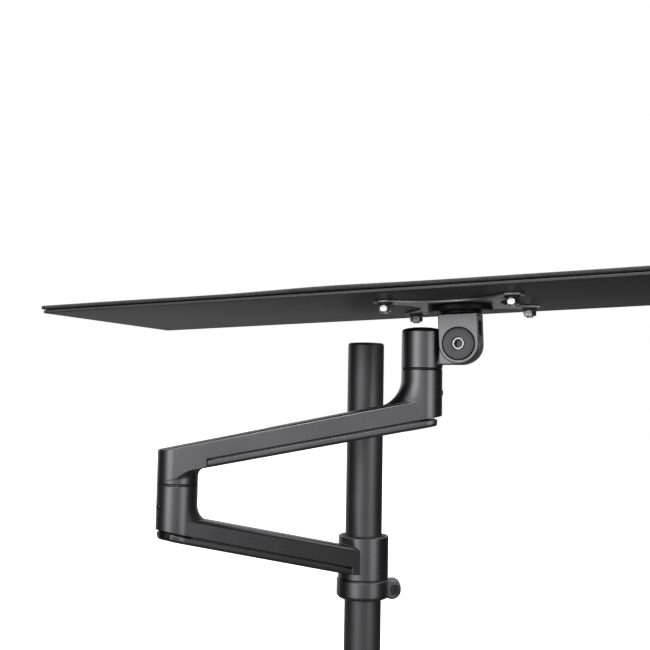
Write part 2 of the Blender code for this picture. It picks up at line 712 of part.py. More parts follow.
def make_upper_arm(body):
    arm = beam("upper_arm", UPPER_TOP, UPPER_PARTING, 0.0, UPPER_REACH, UPPER_BLEND, body)
    inner_top = on_line(UPPER_TOP, BARREL_RADIUS) + 0.004
    spot = (UPPER_REACH, 0, 0)
    centre = spot[:2]
    join(arm, "inner_barrel", cylinder(BARREL_RADIUS, UPPER_BARREL_FOOT, inner_top, ROUND))
    above = [(-0.03, on_line(UPPER_TOP, -0.03)), (0.03, on_line(UPPER_TOP, 0.03))]
    above += [(0.03, 0.36), (-0.03, 0.36)]
    cut(arm, "inner_barrel_top", slab(above, -0.03, 0.03, upright=True))
    barrel_low = on_line(UPPER_PARTING, UPPER_REACH) - 0.012
    join(arm, "outer_barrel", cylinder(BARREL_RADIUS, barrel_low, UPPER_BARREL_TOP, ROUND, centre=centre))
    cut(arm, "upper_parting", half_plane_below(UPPER_PARTING, UPPER_REACH - 0.060, UPPER_REACH + 0.040))
    channel_end = UPPER_REACH - BARREL_RADIUS - ARM_WALL
    cut_channel(arm, "upper_channel", UPPER_TOP, UPPER_PARTING, COVER_START + ARM_WALL, channel_end)
    blind_top = on_line(UPPER_TOP, 0) - 0.0085
    cut(arm, "elbow_bush_bore", cylinder(BUSH_RADIUS + GAP, 0.26, blind_top, sides=MEDIUM_ROUND))
    head_bore_low = on_line(UPPER_PARTING, UPPER_REACH) + 0.0070
    head_bore = cylinder(BUSH_RADIUS + GAP, head_bore_low, 0.40, sides=MEDIUM_ROUND, centre=centre)
    cut(arm, "head_bore", head_bore)
    screw_height = on_line(UPPER_PARTING, UPPER_REACH) + SET_SCREW_RISE
    make_head_lock_screw(arm, screw_height)
    inside = SPINDLE_RADIUS + GAP
    elbow_foot, elbow_head = UPPER_BARREL_FOOT + 0.0003, blind_top - GAP
    elbow_bush = ring(BUSH_RADIUS, inside, elbow_foot, elbow_head)
    turned("elbow_bush", elbow_bush, "bush_plastic", body, sides=MEDIUM_ROUND)
    head_top = UPPER_BARREL_TOP - 0.0003
    lower_bush = ring(BUSH_RADIUS, inside, head_bore_low + GAP, screw_height - 0.0030)
    turned("head_bush_lower", lower_bush, "bush_plastic", body, location=spot, sides=MEDIUM_ROUND)
    upper_bush = ring(BUSH_RADIUS, inside, screw_height + 0.0030, head_top)
    turned("head_bush_upper", upper_bush, "bush_plastic", body, location=spot, sides=MEDIUM_ROUND)
    make_cover("upper_cable_cover", UPPER_PARTING, UPPER_REACH, body)


def make_head_lock_screw(arm, height):
    """The screw runs between the two bushes and stops the head's spindle from lifting out."""
    hole = cylinder(0.0022 + GAP, UPPER_REACH + 0.004, UPPER_REACH + 0.030, axis="X", centre=(0, height))
    cut(arm, "head_set_screw", hole)
    near = UPPER_REACH + SPINDLE_RADIUS - 0.0006
    screw = grub_screw(0.0022, near, UPPER_REACH + BARREL_RADIUS + 0.0007, height)
    place("head_set_screw", screw, "black_steel", arm.parent)


# ---------------------------------------------------------------- head


def make_swivel_head(body):
    profile = [(0, HEAD_TOP), (BARREL_RADIUS, HEAD_TOP), (BARREL_RADIUS, HEAD_FOOT), (0, HEAD_FOOT)]
    head = turned("swivel_head", profile, "arm_black", body)
    low, right = TILT_HEIGHT - KNUCKLE_RADIUS, TILT_REACH
    outline = [(0.006, low)] + arc((right, TILT_HEIGHT), KNUCKLE_RADIUS, -90, 90, 16)
    shoulder_top, neck_top = TILT_HEIGHT + KNUCKLE_RADIUS, HEAD_TOP - 0.0020
    outline += [(0.0205, shoulder_top), (0.0175, shoulder_top - 0.0030)]
    outline += [(0.0175, neck_top), (0.0060, neck_top)]
    knuckle = slab(outline, -KNUCKLE_HALF_DEPTH, KNUCKLE_HALF_DEPTH, upright=True)
    join(head, "knuckle", knuckle)
    hole = cylinder(TILT_BOLT_RADIUS + 0.0018 + GAP, -0.02, 0.02, axis="Y", centre=(right, TILT_HEIGHT))
    cut(head, "tilt_hole", hole)
    bore = cylinder(SPINDLE_RADIUS + GAP, HEAD_FOOT - 0.01, HEAD_TOP - 0.010, sides=MEDIUM_ROUND)
    cut(head, "head_spindle_bore", bore)
    sleeve = ring(TILT_BOLT_RADIUS + 0.0018, TILT_BOLT_RADIUS + GAP, -KNUCKLE_HALF_DEPTH, KNUCKLE_HALF_DEPTH)
    spot = (right, 0, TILT_HEIGHT)
    turned("tilt_bush", sleeve, "bush_plastic", body, location=spot, axis="Y", sides=MEDIUM_ROUND)
    cap_low = HEAD_TOP + GAP
    turned(
        "swivel_cap",
        [(0, HEAD_CAP_TOP), (0.0120, HEAD_CAP_TOP - 0.0002), (0.0150, HEAD_CAP_TOP - 0.0012)]
        + [(0.0166, cap_low + 0.0008), (0.0166, cap_low), (0, cap_low)],
        "black_plastic",
        body,
    )
    foot = on_line(UPPER_PARTING, UPPER_REACH) + 0.0085
    groove = on_line(UPPER_PARTING, UPPER_REACH) + SET_SCREW_RISE
    top = HEAD_TOP - 0.0103
    turned(
        "head_spindle",
        [(0, top), (SPINDLE_RADIUS, top), (SPINDLE_RADIUS, groove + 0.0026), (0.0068, groove + 0.0026)]
        + [(0.0068, groove - 0.0026), (SPINDLE_RADIUS, groove - 0.0026), (SPINDLE_RADIUS, foot + 0.0008)]
        + [(SPINDLE_RADIUS - 0.0008, foot), (0, foot)],
        "spindle_steel",
        body,
        sides=MEDIUM_ROUND,
    )
    thrust = ring(BARREL_RADIUS, SPINDLE_RADIUS + GAP, UPPER_BARREL_TOP + GAP, HEAD_FOOT - GAP)
    turned("head_washer", thrust, "bush_plastic", body)


def ear_outline():
    bottom = arc((0, 0), EAR_RADIUS, 180, 360, 20)
    return bottom + [(EAR_RADIUS, BRIDGE_TOP), (-EAR_RADIUS, BRIDGE_TOP)]


def make_tilt_bracket(body):
    outline = ear_outline()
    bracket = place("tilt_bracket", slab(outline, -EAR_OUTER, EAR_OUTER, upright=True), "arm_black", body)
    soften(bracket, 0.0008)
    cut(bracket, "bracket_gap", box((-0.03, -EAR_INNER, -0.03), (0.03, EAR_INNER, BRIDGE_FOOT)))
    cut(bracket, "tilt_bolt_hole", cylinder(TILT_BOLT_RADIUS + GAP, -0.03, 0.03, axis="Y"))
    seat = EAR_OUTER - 0.0016
    cut(bracket, "front_disc_seat", cylinder(TILT_DISC_RADIUS + 0.0004, -0.03, -seat, ROUND, axis="Y"))
    cut(bracket, "pivot_hole", cylinder(0.0030 + GAP, BRIDGE_FOOT - 0.01, 0.05))
    front = -EAR_OUTER - 0.0002
    recess = 0.0054
    turned(
        "tilt_disc",
        [(TILT_DISC_RADIUS, -seat - GAP), (TILT_DISC_RADIUS, front + 0.0003)]
        + [(TILT_DISC_RADIUS - 0.0003, front), (recess, front), (recess, -seat - GAP)],
        "arm_black",
        body,
        axis="Y",
    )
    flip_to_front("tilt_disc")
    bolt_seat = -seat + 0.0005
    bolt = cap_screw(0.0047, -front - seat + 0.0004, TILT_BOLT_RADIUS - 0.0006, 0.0300)
    bolt.transform(Matrix.Translation((0, bolt_seat - 0.0009, 0)) @ Matrix.Rotation(math.pi / 2, 4, "X"))
    place("tilt_bolt", bolt, "zinc_steel", body)
    ear_back = EAR_OUTER
    shank = TILT_BOLT_RADIUS - 0.0006
    washer_low = ear_back + GAP
    spring = washer(0.0085, shank + GAP, washer_low, washer_low + 0.0014)
    place("tilt_spring_washer", spring, "spindle_steel", body)
    nut_low = washer_low + 0.0014 + GAP
    nut = hex_nut(0.0120, shank + GAP, 0, 0.0065)
    nut.transform(Matrix.Translation((0, nut_low, 0)) @ Matrix.Rotation(-math.pi / 2, 4, "X"))
    place("tilt_lock_nut", nut, "zinc_steel", body)
    for side, sign in (("front", -1), ("back", 1)):
        low, high = sorted((sign * (KNUCKLE_HALF_DEPTH + GAP), sign * (EAR_INNER - GAP)))
        friction = washer(0.0140, TILT_BOLT_RADIUS + 0.0010, low, high)
        place(f"tilt_friction_washer_{side}", friction, "bush_plastic", body)
    step = ring(HUB_STEP_RADIUS, 0.0030 + GAP, BRIDGE_TOP + GAP, HUB_BOTTOM - GAP)
    turned("hub_base", step, "black_plastic", body)
    plate_top = TRAY_UNDERSIDE - GAP
    head_low = plate_top - 0.0030
    turned(
        "hub_pivot",
        [(0, plate_top - 0.0002), (0.0070, plate_top - 0.0002), (0.0070, plate_top - 0.0006)]
        + [(0.0046, head_low), (0.0046, HUB_BOTTOM), (0.0030, HUB_BOTTOM - 0.0002)]
        + [(0.0030, BRIDGE_FOOT + 0.0004), (0, BRIDGE_FOOT + 0.0004)],
        "spindle_steel",
        body,
        sides=MEDIUM_ROUND,
    )


def flip_to_front(name):
    """The profile heights of this piece are given along +Y, and a turned piece lies along -Y."""
    bpy.data.objects[name].rotation_euler = (math.radians(-90), 0, 0)


def washer(outer, inner, low, high):
    """A plain washer lying along Y."""
    shape = bmesh.new()
    rows = []
    for radius, y in ((inner, low), (outer, low), (outer, high), (inner, high)):
        rows.append([shape.verts.new((radius * math.cos(a), y, radius * math.sin(a))) for a in ring_angles()])
    count = SMALL_ROUND
    for a, b in zip(rows, rows[1:] + rows[:1]):
        for i in range(count):
            shape.faces.new((a[i], a[(i + 1) % count], b[(i + 1) % count], b[i]))
    return solid(shape)


# ---------------------------------------------------------------- tray


def vesa_outline():
    """A four-armed plate: round tips on the bolt square, hollowed sides between them."""
    half = VESA_PITCH / 2
    side = VESA_TIP_RADIUS * math.sqrt(0.5)
    far, near = half + side, half - side
    hollow = (far**2 + near**2 - VESA_WAIST**2) / (2 * (far - VESA_WAIST))
    radius = hollow - VESA_WAIST
    spread = math.degrees(math.atan2(near, hollow - far))
    points = []
    for quarter in range(4):
        turn = 90 * quarter
        spin = math.radians(turn)
        tip = [half * (math.cos(spin) - math.sin(spin)), half * (math.sin(spin) + math.cos(spin))]
        points += arc(tip, VESA_TIP_RADIUS, turn - 45, turn + 135, 8)
        middle = [-hollow * math.sin(spin), hollow * math.cos(spin)]
        points += arc(middle, radius, turn - 90 + spread, turn - 90 - spread, 8)[1:-1]
    return points


def make_tray(body):
    disc = ring(HUB_RADIUS, 0.0046 + GAP, HUB_BOTTOM, HUB_TOP)
    hub = turned("hub_disc", disc, "black_plastic", body)
    soften(hub, 0.0008)
    plate_top = TRAY_UNDERSIDE - GAP
    plate_low = plate_top - VESA_THICKNESS
    plate = place("vesa_plate", slab(vesa_outline(), plate_low, plate_top), "vesa_grey", body)
    cut(plate, "pivot_clearance", cylinder(0.0073, plate_low - 0.01, plate_top + 0.01, sides=MEDIUM_ROUND))
    half = VESA_PITCH / 2
    small = 0.0375
    slot = arc((0.0022, 0), 0.0026, -90, 90, 6) + arc((-0.0022, 0), 0.0026, 90, 270, 6)
    washer_low = plate_low - GAP - 0.0012
    nut_low = washer_low - GAP - 0.0050
    top = TRAY_UNDERSIDE + TRAY_THICKNESS
    sheet = slab(rounded_rectangle(TRAY_LENGTH, TRAY_DEPTH, 0.003, 4), TRAY_UNDERSIDE, top)
    tray = place("tray_plate", sheet, "tray_black", body)
    for i, (sx, sy) in enumerate(((1, 1), (-1, 1), (-1, -1), (1, -1))):
        spot = (sx * half, sy * half)
        stud_hole = cylinder(0.0030 + GAP, plate_low - 0.01, plate_top + 0.01, centre=spot)
        cut(plate, f"stud_hole_{i + 1}", stud_hole, "MANIFOLD")
        opening = slab(slot, plate_low - 0.01, plate_top + 0.01)
        lean = Matrix.Rotation(math.atan2(sy, sx), 4, "Z")
        opening.transform(Matrix.Translation((sx * small, sy * small, 0)) @ lean)
        cut(plate, f"small_slot_{i + 1}", opening, "MANIFOLD")
        join(tray, f"stud_{i + 1}", cylinder(0.0030, nut_low - 0.0012, TRAY_UNDERSIDE + 0.0012, centre=spot))
        nut = hex_nut(0.0098, 0.0030 + GAP, nut_low, nut_low + 0.0050)
        place(f"stud_nut_{i + 1}", moved(nut, (*spot, 0)), "zinc_steel", body)
        flat = washer(0.0065, 0.0030 + GAP, washer_low, washer_low + 0.0012)
        flat.transform(Matrix.Translation((*spot, 0)) @ Matrix.Rotation(math.pi / 2, 4, "X"))
        place(f"stud_washer_{i + 1}", flat, "black_steel", body)
    mat_low = top + MAT_SEAM
    over = 2 * MAT_OVERHANG
    outline = rounded_rectangle(TRAY_LENGTH + over, TRAY_DEPTH + over, 0.004, 4)
    place("tray_mat", slab(outline, mat_low, mat_low + MAT_THICKNESS), "mat_rubber", body)


make_post()
make_clamp()
foot_slide = empty("clamp_foot_slide")
make_clamp_screw(foot_slide)
height = empty("arm_height")
make_collar(empty("collar_frame", height, rotation=(0, 0, COLLAR_BEARING)))
shoulder = empty("shoulder_axis", height, rotation=(0, 0, LOWER_BEARING))
make_lower_arm(shoulder)
elbow = empty("elbow_axis", shoulder, (LOWER_REACH, 0, 0), (0, 0, UPPER_BEARING - LOWER_BEARING))
make_upper_arm(elbow)
swivel = empty("head_axis", elbow, (UPPER_REACH, 0, 0), (0, 0, HEAD_BEARING - UPPER_BEARING))
make_swivel_head(swivel)
tilt = empty("tilt_axis", swivel, (TILT_REACH, 0, TILT_HEIGHT), (0, TRAY_LEAN, 0))
make_tilt_bracket(tilt)
make_tray(empty("tray_axis", tilt))
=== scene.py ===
"""The finished look of a desk-pole arm: castings, covers, turned pieces, fasteners, tray and mat.

A shape with blended edges is a distance field, negative inside, meshed on a grid. Shapes are drawn
in millimetres in the frame of the arm, head or tray that they belong to, and placed in metres.
"""

import json
import math

import bmesh
import bpy
import numpy as np
from mathutils import Matrix, Vector


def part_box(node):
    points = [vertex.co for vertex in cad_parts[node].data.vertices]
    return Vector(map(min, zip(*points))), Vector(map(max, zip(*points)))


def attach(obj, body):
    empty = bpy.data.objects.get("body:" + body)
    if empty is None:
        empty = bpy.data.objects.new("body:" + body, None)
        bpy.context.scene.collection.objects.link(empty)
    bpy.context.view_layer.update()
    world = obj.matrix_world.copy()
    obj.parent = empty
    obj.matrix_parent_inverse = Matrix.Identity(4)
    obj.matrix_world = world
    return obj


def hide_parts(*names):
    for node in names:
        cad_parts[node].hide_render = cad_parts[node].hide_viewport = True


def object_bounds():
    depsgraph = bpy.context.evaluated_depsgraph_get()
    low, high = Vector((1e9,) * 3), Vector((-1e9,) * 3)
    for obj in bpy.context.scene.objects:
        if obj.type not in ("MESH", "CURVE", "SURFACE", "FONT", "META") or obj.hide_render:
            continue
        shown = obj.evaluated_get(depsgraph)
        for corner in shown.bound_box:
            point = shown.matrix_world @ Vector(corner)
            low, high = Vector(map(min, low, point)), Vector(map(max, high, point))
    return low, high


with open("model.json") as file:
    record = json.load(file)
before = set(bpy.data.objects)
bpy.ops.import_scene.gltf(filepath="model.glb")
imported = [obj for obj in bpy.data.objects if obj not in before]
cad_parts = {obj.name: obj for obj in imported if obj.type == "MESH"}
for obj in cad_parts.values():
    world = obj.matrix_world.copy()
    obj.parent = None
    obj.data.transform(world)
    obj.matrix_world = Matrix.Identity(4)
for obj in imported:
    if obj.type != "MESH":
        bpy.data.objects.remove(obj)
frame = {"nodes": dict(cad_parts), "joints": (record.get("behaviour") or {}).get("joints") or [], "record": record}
cad_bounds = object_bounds()

MM = 0.001
joints = {joint["name"]: joint for joint in frame["joints"]}


# ---------------------------------------------------------------- places


def turn_z(angle):
    return Matrix.Rotation(angle, 4, "Z")


def flat(vector):
    return Vector((vector.x, vector.y, 0))


ELBOW = Vector(joints["elbow_turn"]["pos_m"])
HEAD_POINT = Vector(joints["head_swivel"]["pos_m"])
TILT_POINT = Vector(joints["tray_tilt"]["pos_m"])
TRAY_LEAN = math.asin(joints["tray_turn"]["axis"][0])
TO_HEAD = HEAD_POINT - ELBOW

POST = Matrix.Identity(4)
LOWER = turn_z(math.atan2(ELBOW.y, ELBOW.x))
UPPER = Matrix.Translation(flat(ELBOW)) @ turn_z(math.atan2(TO_HEAD.y, TO_HEAD.x))
HEAD = Matrix.Translation(flat(HEAD_POINT))
TRAY = Matrix.Translation(TILT_POINT) @ Matrix.Rotation(TRAY_LEAN, 4, "Y")
FRONT = Matrix.Rotation(math.radians(90), 4, "X")  # turns a shape's +Z to -Y
BACK = Matrix.Rotation(math.radians(-90), 4, "X")  # turns a shape's +Z to +Y
OUTWARD = Matrix.Rotation(math.radians(90), 4, "Y")  # turns a shape's +Z to +X


def lug_bearing():
    """The direction of the collar's clamping lug, from the points that lie farthest from the pole."""
    points = np.array([v.co[:2] for v in frame["nodes"]["height_collar"].data.vertices])
    reach = np.hypot(points[:, 0], points[:, 1])
    tip = points[reach > 0.97 * reach.max()].mean(axis=0)
    return math.atan2(tip[1], tip[0])


def levels(node):
    """Lowest and highest point of a CAD node, in millimetres."""
    low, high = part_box(node)
    return low.z / MM, high.z / MM


def at(x=0.0, y=0.0, z=0.0):
    return Matrix.Translation((x * MM, y * MM, z * MM))


# ---------------------------------------------------------------- dimensions, mm

POLE_RADIUS = 17.5
BARREL_RADIUS = 17.0
ARM_HALF = 17.0
LOWER_REACH = flat(ELBOW).length / MM
UPPER_REACH = flat(TO_HEAD).length / MM
LOWER_TOP = (204.5, 0.2270)  # height over the inner axis, rise per length
LOWER_PARTING = (184.8, 0.2441)
UPPER_TOP = (306.5, 0.2130)
UPPER_PARTING = (291.5, 0.2000)
COVER_START = 27.4
COVER_OVERHANG = 12.2
COVER_DEPTH = 7.0
COVER_WALL = 1.8
COVER_SEAM = 1.3
SLEEVE_RADIUS = 24.0
SLEEVE = levels("sleeve_bush_lower")[0] + 1.9, levels("sleeve_bush_upper")[1] - 0.6
ELBOW_SEAM = levels("elbow_washer")
HEAD_SEAM = levels("head_washer")
SPINDLE_BORE = 8.3
BUSH_BORE = 10.8
BORE_RISE = 6.7  # from an arm's parting line, at its outer barrel
SET_SCREW_RISE = 22.5
SET_SCREW_REACH = 17.6
TILT_X = (TILT_POINT - HEAD_POINT).x / MM
TILT_Z = TILT_POINT.z / MM
FINE, MEDIUM, COARSE = 0.30, 0.45, 0.70  # grid steps


# ---------------------------------------------------------------- distance fields


def join(a, b, r):
    """Both shapes, with a hollow blend of radius r between them."""
    return np.maximum(r, np.minimum(a, b)) - np.hypot(np.maximum(r - a, 0), np.maximum(r - b, 0))


def meet(a, b, r):
    """What lies in both shapes, with a rounded edge of radius r."""
    return np.minimum(-r, np.maximum(a, b)) + np.hypot(np.maximum(a + r, 0), np.maximum(b + r, 0))


def between(value, low, high):
    return np.maximum(low - value, value - high)


def stadium(s, y, start, end, half):
    return np.hypot(s - np.clip(s, start, end), y) - half


def over(line, s, z):
    """Height above a sloping line, measured at right angles to it."""
    return (z - line[0] - line[1] * s) / math.hypot(1, line[1])


def lowered(line, drop):
    return (line[0] - drop, line[1])


def height(line, s):
    return line[0] + line[1] * s


def hexagon(x, y, half_flats):
    third = math.sqrt(3) / 2
    return np.maximum(np.abs(y), np.abs(0.5 * y) + third * np.abs(x)) - half_flats


def slope_of(field, points, reach):
    """Gradient of the field at each point."""
    rows = []
    for axis in range(3):
        shift = np.zeros(3)
        shift[axis] = reach
        ahead, behind = (points + shift).T, (points - shift).T
        rows.append((field(*ahead) - field(*behind)) / (2 * reach))
    return np.stack(rows, axis=1)


def surface(field, low, high, step):
    """Points, quads and normals of the field's surface, one point for each cell that it crosses."""
    axes = [np.arange(a - 2 * step, b + 3 * step, step) for a, b in zip(low, high)]
    shape = [len(axis) for axis in axes]
    values = np.broadcast_to(field(*np.meshgrid(*axes, indexing="ij", sparse=True)), shape)
    inside = values < 0
    corners = [
        inside[i : i + shape[0] - 1, j : j + shape[1] - 1, k : k + shape[2] - 1]
        for i in (0, 1) for j in (0, 1) for k in (0, 1)
    ]
    crossed = np.logical_or.reduce(corners) & ~np.logical_and.reduce(corners)
    cells = np.argwhere(crossed)
    number = np.full(crossed.shape, -1)
    number[crossed] = np.arange(len(cells))
    total, count = np.zeros((len(cells), 3)), np.zeros((len(cells), 1))
    quads = []
    for axis in range(3):
        u, v = (axis + 1) % 3, (axis + 2) % 3
        unit = np.eye(3, dtype=int)
        for du in (0, 1):
            for dv in (0, 1):
                start = cells + du * unit[u] + dv * unit[v]
                a, b = values[tuple(start.T)], values[tuple((start + unit[axis]).T)]
                hit = (a < 0) != (b < 0)
                share = np.where(hit, a / np.where(hit, a - b, 1), 0)
                total += (start + share[:, None] * unit[axis]) * hit[:, None]
                count += hit[:, None]
        near = np.take(inside, range(shape[axis] - 1), axis)
        far = np.take(inside, range(1, shape[axis]), axis)
        edges = np.argwhere(near != far)
        outward = near[tuple(edges.T)]
        ring = [number[tuple((edges + du * unit[u] + dv * unit[v]).T)] for du, dv in
                ((-1, -1), (0, -1), (0, 0), (-1, 0))]
        ring = np.stack(ring, axis=1)
        quads.append(np.where(outward[:, None], ring, ring[:, ::-1]))
    points = np.array([axis[0] for axis in axes]) + step * total / count
    for _ in range(3):  # Newton steps onto the surface, each kept under half a cell
        slope = slope_of(field, points, 0.02)
        size = np.maximum((slope**2).sum(axis=1), 0.05)
        move = -(field(*points.T) / size)[:, None] * slope
        length = np.maximum(np.linalg.norm(move, axis=1), 1e-9)
        points += move * np.minimum(1, 0.4 * step / length)[:, None]
    normals = slope_of(field, points, 0.1 * step)
    normals /= np.maximum(np.linalg.norm(normals, axis=1), 1e-9)[:, None]
    return points, np.concatenate(quads), normals


# ---------------------------------------------------------------- mesh pieces


def finish_piece(name, mesh, slot, body, *nodes):
    """An object of the mesh, in its slot's material, on its body and in place of its CAD nodes."""
    obj = bpy.data.objects.new(name, mesh)
    obj.data.materials.append(LOOKS[slot])
    bpy.context.scene.collection.objects.link(obj)
    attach(obj, body)
    if nodes:
        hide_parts(*nodes)


def moulded(name, field, low, high, step, place, slot, body, *nodes):
    """A piece from a distance field, in the frame that place gives."""
    points, quads, normals = surface(field, low, high, step)
    matrix = np.array(place)
    turn = matrix[:3, :3]
    mesh = bpy.data.meshes.new(name)
    mesh.from_pydata((points * MM @ turn.T + matrix[:3, 3]).tolist(), [], quads.tolist())
    mesh.shade_smooth()
    mesh.normals_split_custom_set_from_vertices((normals @ turn.T).tolist())
    finish_piece(name, mesh, slot, body, *nodes)


def from_rows(name, rows, place, slot, body, *nodes, closed_rows=False, caps=False):
    """A piece from rings of points, each joined to the next. A ring of one point closes an end."""
    shape = bmesh.new()
    rings = [[shape.verts.new(Vector(p) * MM) for p in row] for row in rows]
    pairs = list(zip(rings, rings[1:])) + ([(rings[-1], rings[0])] if closed_rows else [])
    for a, b in pairs:
        count = max(len(a), len(b))
        for i in range(count):
            j = (i + 1) % count
            corners = [a[i % len(a)], a[j % len(a)], b[j % len(b)], b[i % len(b)]]
            shape.faces.new(list(dict.fromkeys(corners)))
    if caps:
        shape.faces.new(list(reversed(rings[0])))
        shape.faces.new(rings[-1])
    bmesh.ops.recalc_face_normals(shape, faces=shape.faces)
    mesh = bpy.data.meshes.new(name)
    shape.to_mesh(mesh)
    shape.free()
    mesh.transform(place)
    mesh.shade_smooth()
    mesh.set_sharp_from_angle(angle=math.radians(32))
    finish_piece(name, mesh, slot, body, *nodes)


def eased(points, radius, steps=4, closed=False):
    """The same outline with each corner rounded."""
    count = len(points)
    result = []
    for i, point in enumerate(points):
        if not closed and i in (0, count - 1):
            result.append(tuple(point))
            continue
        corner = Vector(point)
        before, after = Vector(points[i - 1]) - corner, Vector(points[(i + 1) % count]) - corner
        bend = before.angle(after)
        if bend > math.radians(174):
            result.append(tuple(point))
            continue
        run = min(radius / math.tan(bend / 2), 0.45 * before.length, 0.45 * after.length)
        first, last = before.normalized() * run, after.normalized() * run
        for k in range(steps + 1):
            t = k / steps
            result.append(tuple(corner + first * (1 - t) ** 2 + last * t**2))
    return result


def ring_of(radius, z, sides):
    if radius < 0.001:
        return [(0, 0, z)]
    angles = [2 * math.pi * i / sides for i in range(sides)]
    return [(radius * math.cos(a), radius * math.sin(a), z) for a in angles]


def lathe(name, profile, place, slot, body, *nodes, edge=0.3, sides=96):
    """A turned piece. A profile that starts and ends on the axis is a solid, and any other is a ring."""
    ring = profile[0][0] > 0
    rows = [ring_of(r, z, sides) for r, z in eased(profile, edge, closed=ring)]
    from_rows(name, rows, place, slot, body, *nodes, closed_rows=ring)


def ring_profile(outer, inner, low, high):
    return [(outer, high), (outer, low), (inner, low), (inner, high)]


def slab(name, outline, low, high, edge, place, slot, body, *nodes):
    """A flat outline with thickness and rounded rims."""
    rows = []
    for k in range(10):
        upper = k > 4
        angle = math.radians(90 * ((k - 5) if upper else (4 - k)) / 4)
        inset, drop = edge * (1 - math.cos(angle)), edge * (1 - math.sin(angle))
        z = high - drop if upper else low + drop
        rows.append([(*inward(outline, i, inset), z) for i in range(len(outline))])
    from_rows(name, rows, place, slot, body, *nodes, caps=True)


def inward(outline, i, distance):
    """A corner of a counter-clockwise outline, moved inwards."""
    here, before = Vector(outline[i]), Vector(outline[i - 1])
    after = Vector(outline[(i + 1) % len(outline)])
    a, b = (here - before).normalized(), (after - here).normalized()
    normal = (Vector((-a.y, a.x)) + Vector((-b.y, b.x))).normalized()
    spread = max(0.4, normal.dot(Vector((-a.y, a.x))))
    return tuple(here + normal * distance / spread)


def thread(name, radius, pitch, low, high, place, slot, body, *nodes, sides=40):
    """A rod with a screw thread: a helical groove cut into its side."""
    depth = 0.55 * pitch
    count = int((high - low) / (pitch / 6)) + 1
    rows = [[(0, 0, low)]]
    for z in np.linspace(low, high, count):
        row = []
        for i in range(sides):
            phase = (z / pitch - i / sides) % 1
            fade = min(1, (z - low) / pitch, (high - z) / pitch)
            r = radius - depth * abs(2 * phase - 1) * fade - 0.5 * pitch * (1 - min(1, 2 * fade + 0.5))
            angle = 2 * math.pi * i / sides
            row.append((r * math.cos(angle), r * math.sin(angle), z))
        rows.append(row)
    rows.append([(0, 0, high)])
    from_rows(name, rows, place, slot, body, *nodes)


def cap_screw(name, head_radius, head_height, shank_radius, shank_length, socket, place, slot, body, *nodes,
              depth=0.45):
    """A hexagon-socket screw standing on z = 0, head up."""

    def field(x, y, z):
        rho = np.hypot(x, y)
        head = meet(rho - head_radius, between(z, 0, head_height), 0.35)
        solid = np.minimum(head, meet(rho - shank_radius, between(z, -shank_length, 0.5), 0.3))
        well = np.maximum(hexagon(x, y, socket / 2), depth * head_height - z)
        mouth = rho - socket / 2 - 0.45 + (head_height - z)
        return meet(meet(solid, -well, 0.12), -mouth, 0.1)

    reach = max(head_radius, shank_radius)
    low, high = (-reach, -reach, -shank_length), (reach, reach, head_height)
    moulded(name, field, low, high, FINE, place, slot, body, *nodes)


def grub_screw(name, radius, length, place, slot, body, *nodes):
    """A headless socket screw that ends at z = 0."""

    def field(x, y, z):
        rod = meet(np.hypot(x, y) - radius, between(z, -length, 0), 0.4)
        return meet(rod, -np.maximum(hexagon(x, y, 0.52 * radius), -1.8 - z), 0.1)

    low, high = (-radius, -radius, -length), (radius, radius, 0)
    moulded(name, field, low, high, 0.22, place, slot, body, *nodes)


def hex_nut(name, across_flats, bore, thickness, place, slot, body, *nodes):
    """A hexagon nut standing on z = 0, chamfered on both faces."""

    def field(x, y, z):
        rho = np.hypot(x, y)
        rise = np.abs(z - thickness / 2) - thickness / 2
        cone = (rho - 0.5 * across_flats + 0.577 * rise - 0.1) * 0.866
        body_field = meet(np.maximum(hexagon(x, y, across_flats / 2), rise), cone, 0.15)
        return meet(body_field, bore - rho, 0.3)

    reach = 0.6 * across_flats
    low, high = (-reach, -reach, 0), (reach, reach, thickness)
    moulded(name, field, low, high, 0.25, place, slot, body, *nodes)


# ---------------------------------------------------------------- materials


def new_material(name, metallic, roughness, specular=0.5):
    material = bpy.data.materials.new(name)
    material.use_nodes = True
    tree = material.node_tree
    shader = tree.nodes["Principled BSDF"]
    shader.inputs["Metallic"].default_value = metallic
    shader.inputs["Roughness"].default_value = roughness
    shader.inputs["Specular IOR Level"].default_value = specular
    return material, tree, shader


def noise(tree, scale, detail=3.0, stretch=(1, 1, 1)):
    """Noise over the piece's own coordinates, at a scale given per metre."""
    place = tree.nodes.new("ShaderNodeTexCoord")
    mapping = tree.nodes.new("ShaderNodeMapping")
    mapping.inputs["Scale"].default_value = stretch
    texture = tree.nodes.new("ShaderNodeTexNoise")
    texture.inputs["Scale"].default_value = scale
    texture.inputs["Detail"].default_value = detail
    tree.links.new(place.outputs["Object"], mapping.inputs["Vector"])
    tree.links.new(mapping.outputs["Vector"], texture.inputs["Vector"])
    return texture.outputs["Fac"]


def cell_distance(tree, scale):
    """Distance to the middle of soft cells, at a scale given per metre."""
    place = tree.nodes.new("ShaderNodeTexCoord")
    texture = tree.nodes.new("ShaderNodeTexVoronoi")
    texture.feature = "SMOOTH_F1"
    texture.inputs["Scale"].default_value = scale
    tree.links.new(place.outputs["Object"], texture.inputs["Vector"])
    return texture.outputs["Distance"]


def mapped(tree, value, from_min, from_max, to_min=0.0, to_max=1.0):
    """The value, carried from one range to another and held at its ends."""
    node = tree.nodes.new("ShaderNodeMapRange")
    node.inputs["From Min"].default_value = from_min
    node.inputs["From Max"].default_value = from_max
    node.inputs["To Min"].default_value = to_min
    node.inputs["To Max"].default_value = to_max
    tree.links.new(value, node.inputs["Value"])
    return node.outputs["Result"]


def spread(tree, value, low, high):
    """The value's middle range, mapped from low to high."""
    return mapped(tree, value, 0.3, 0.7, low, high)


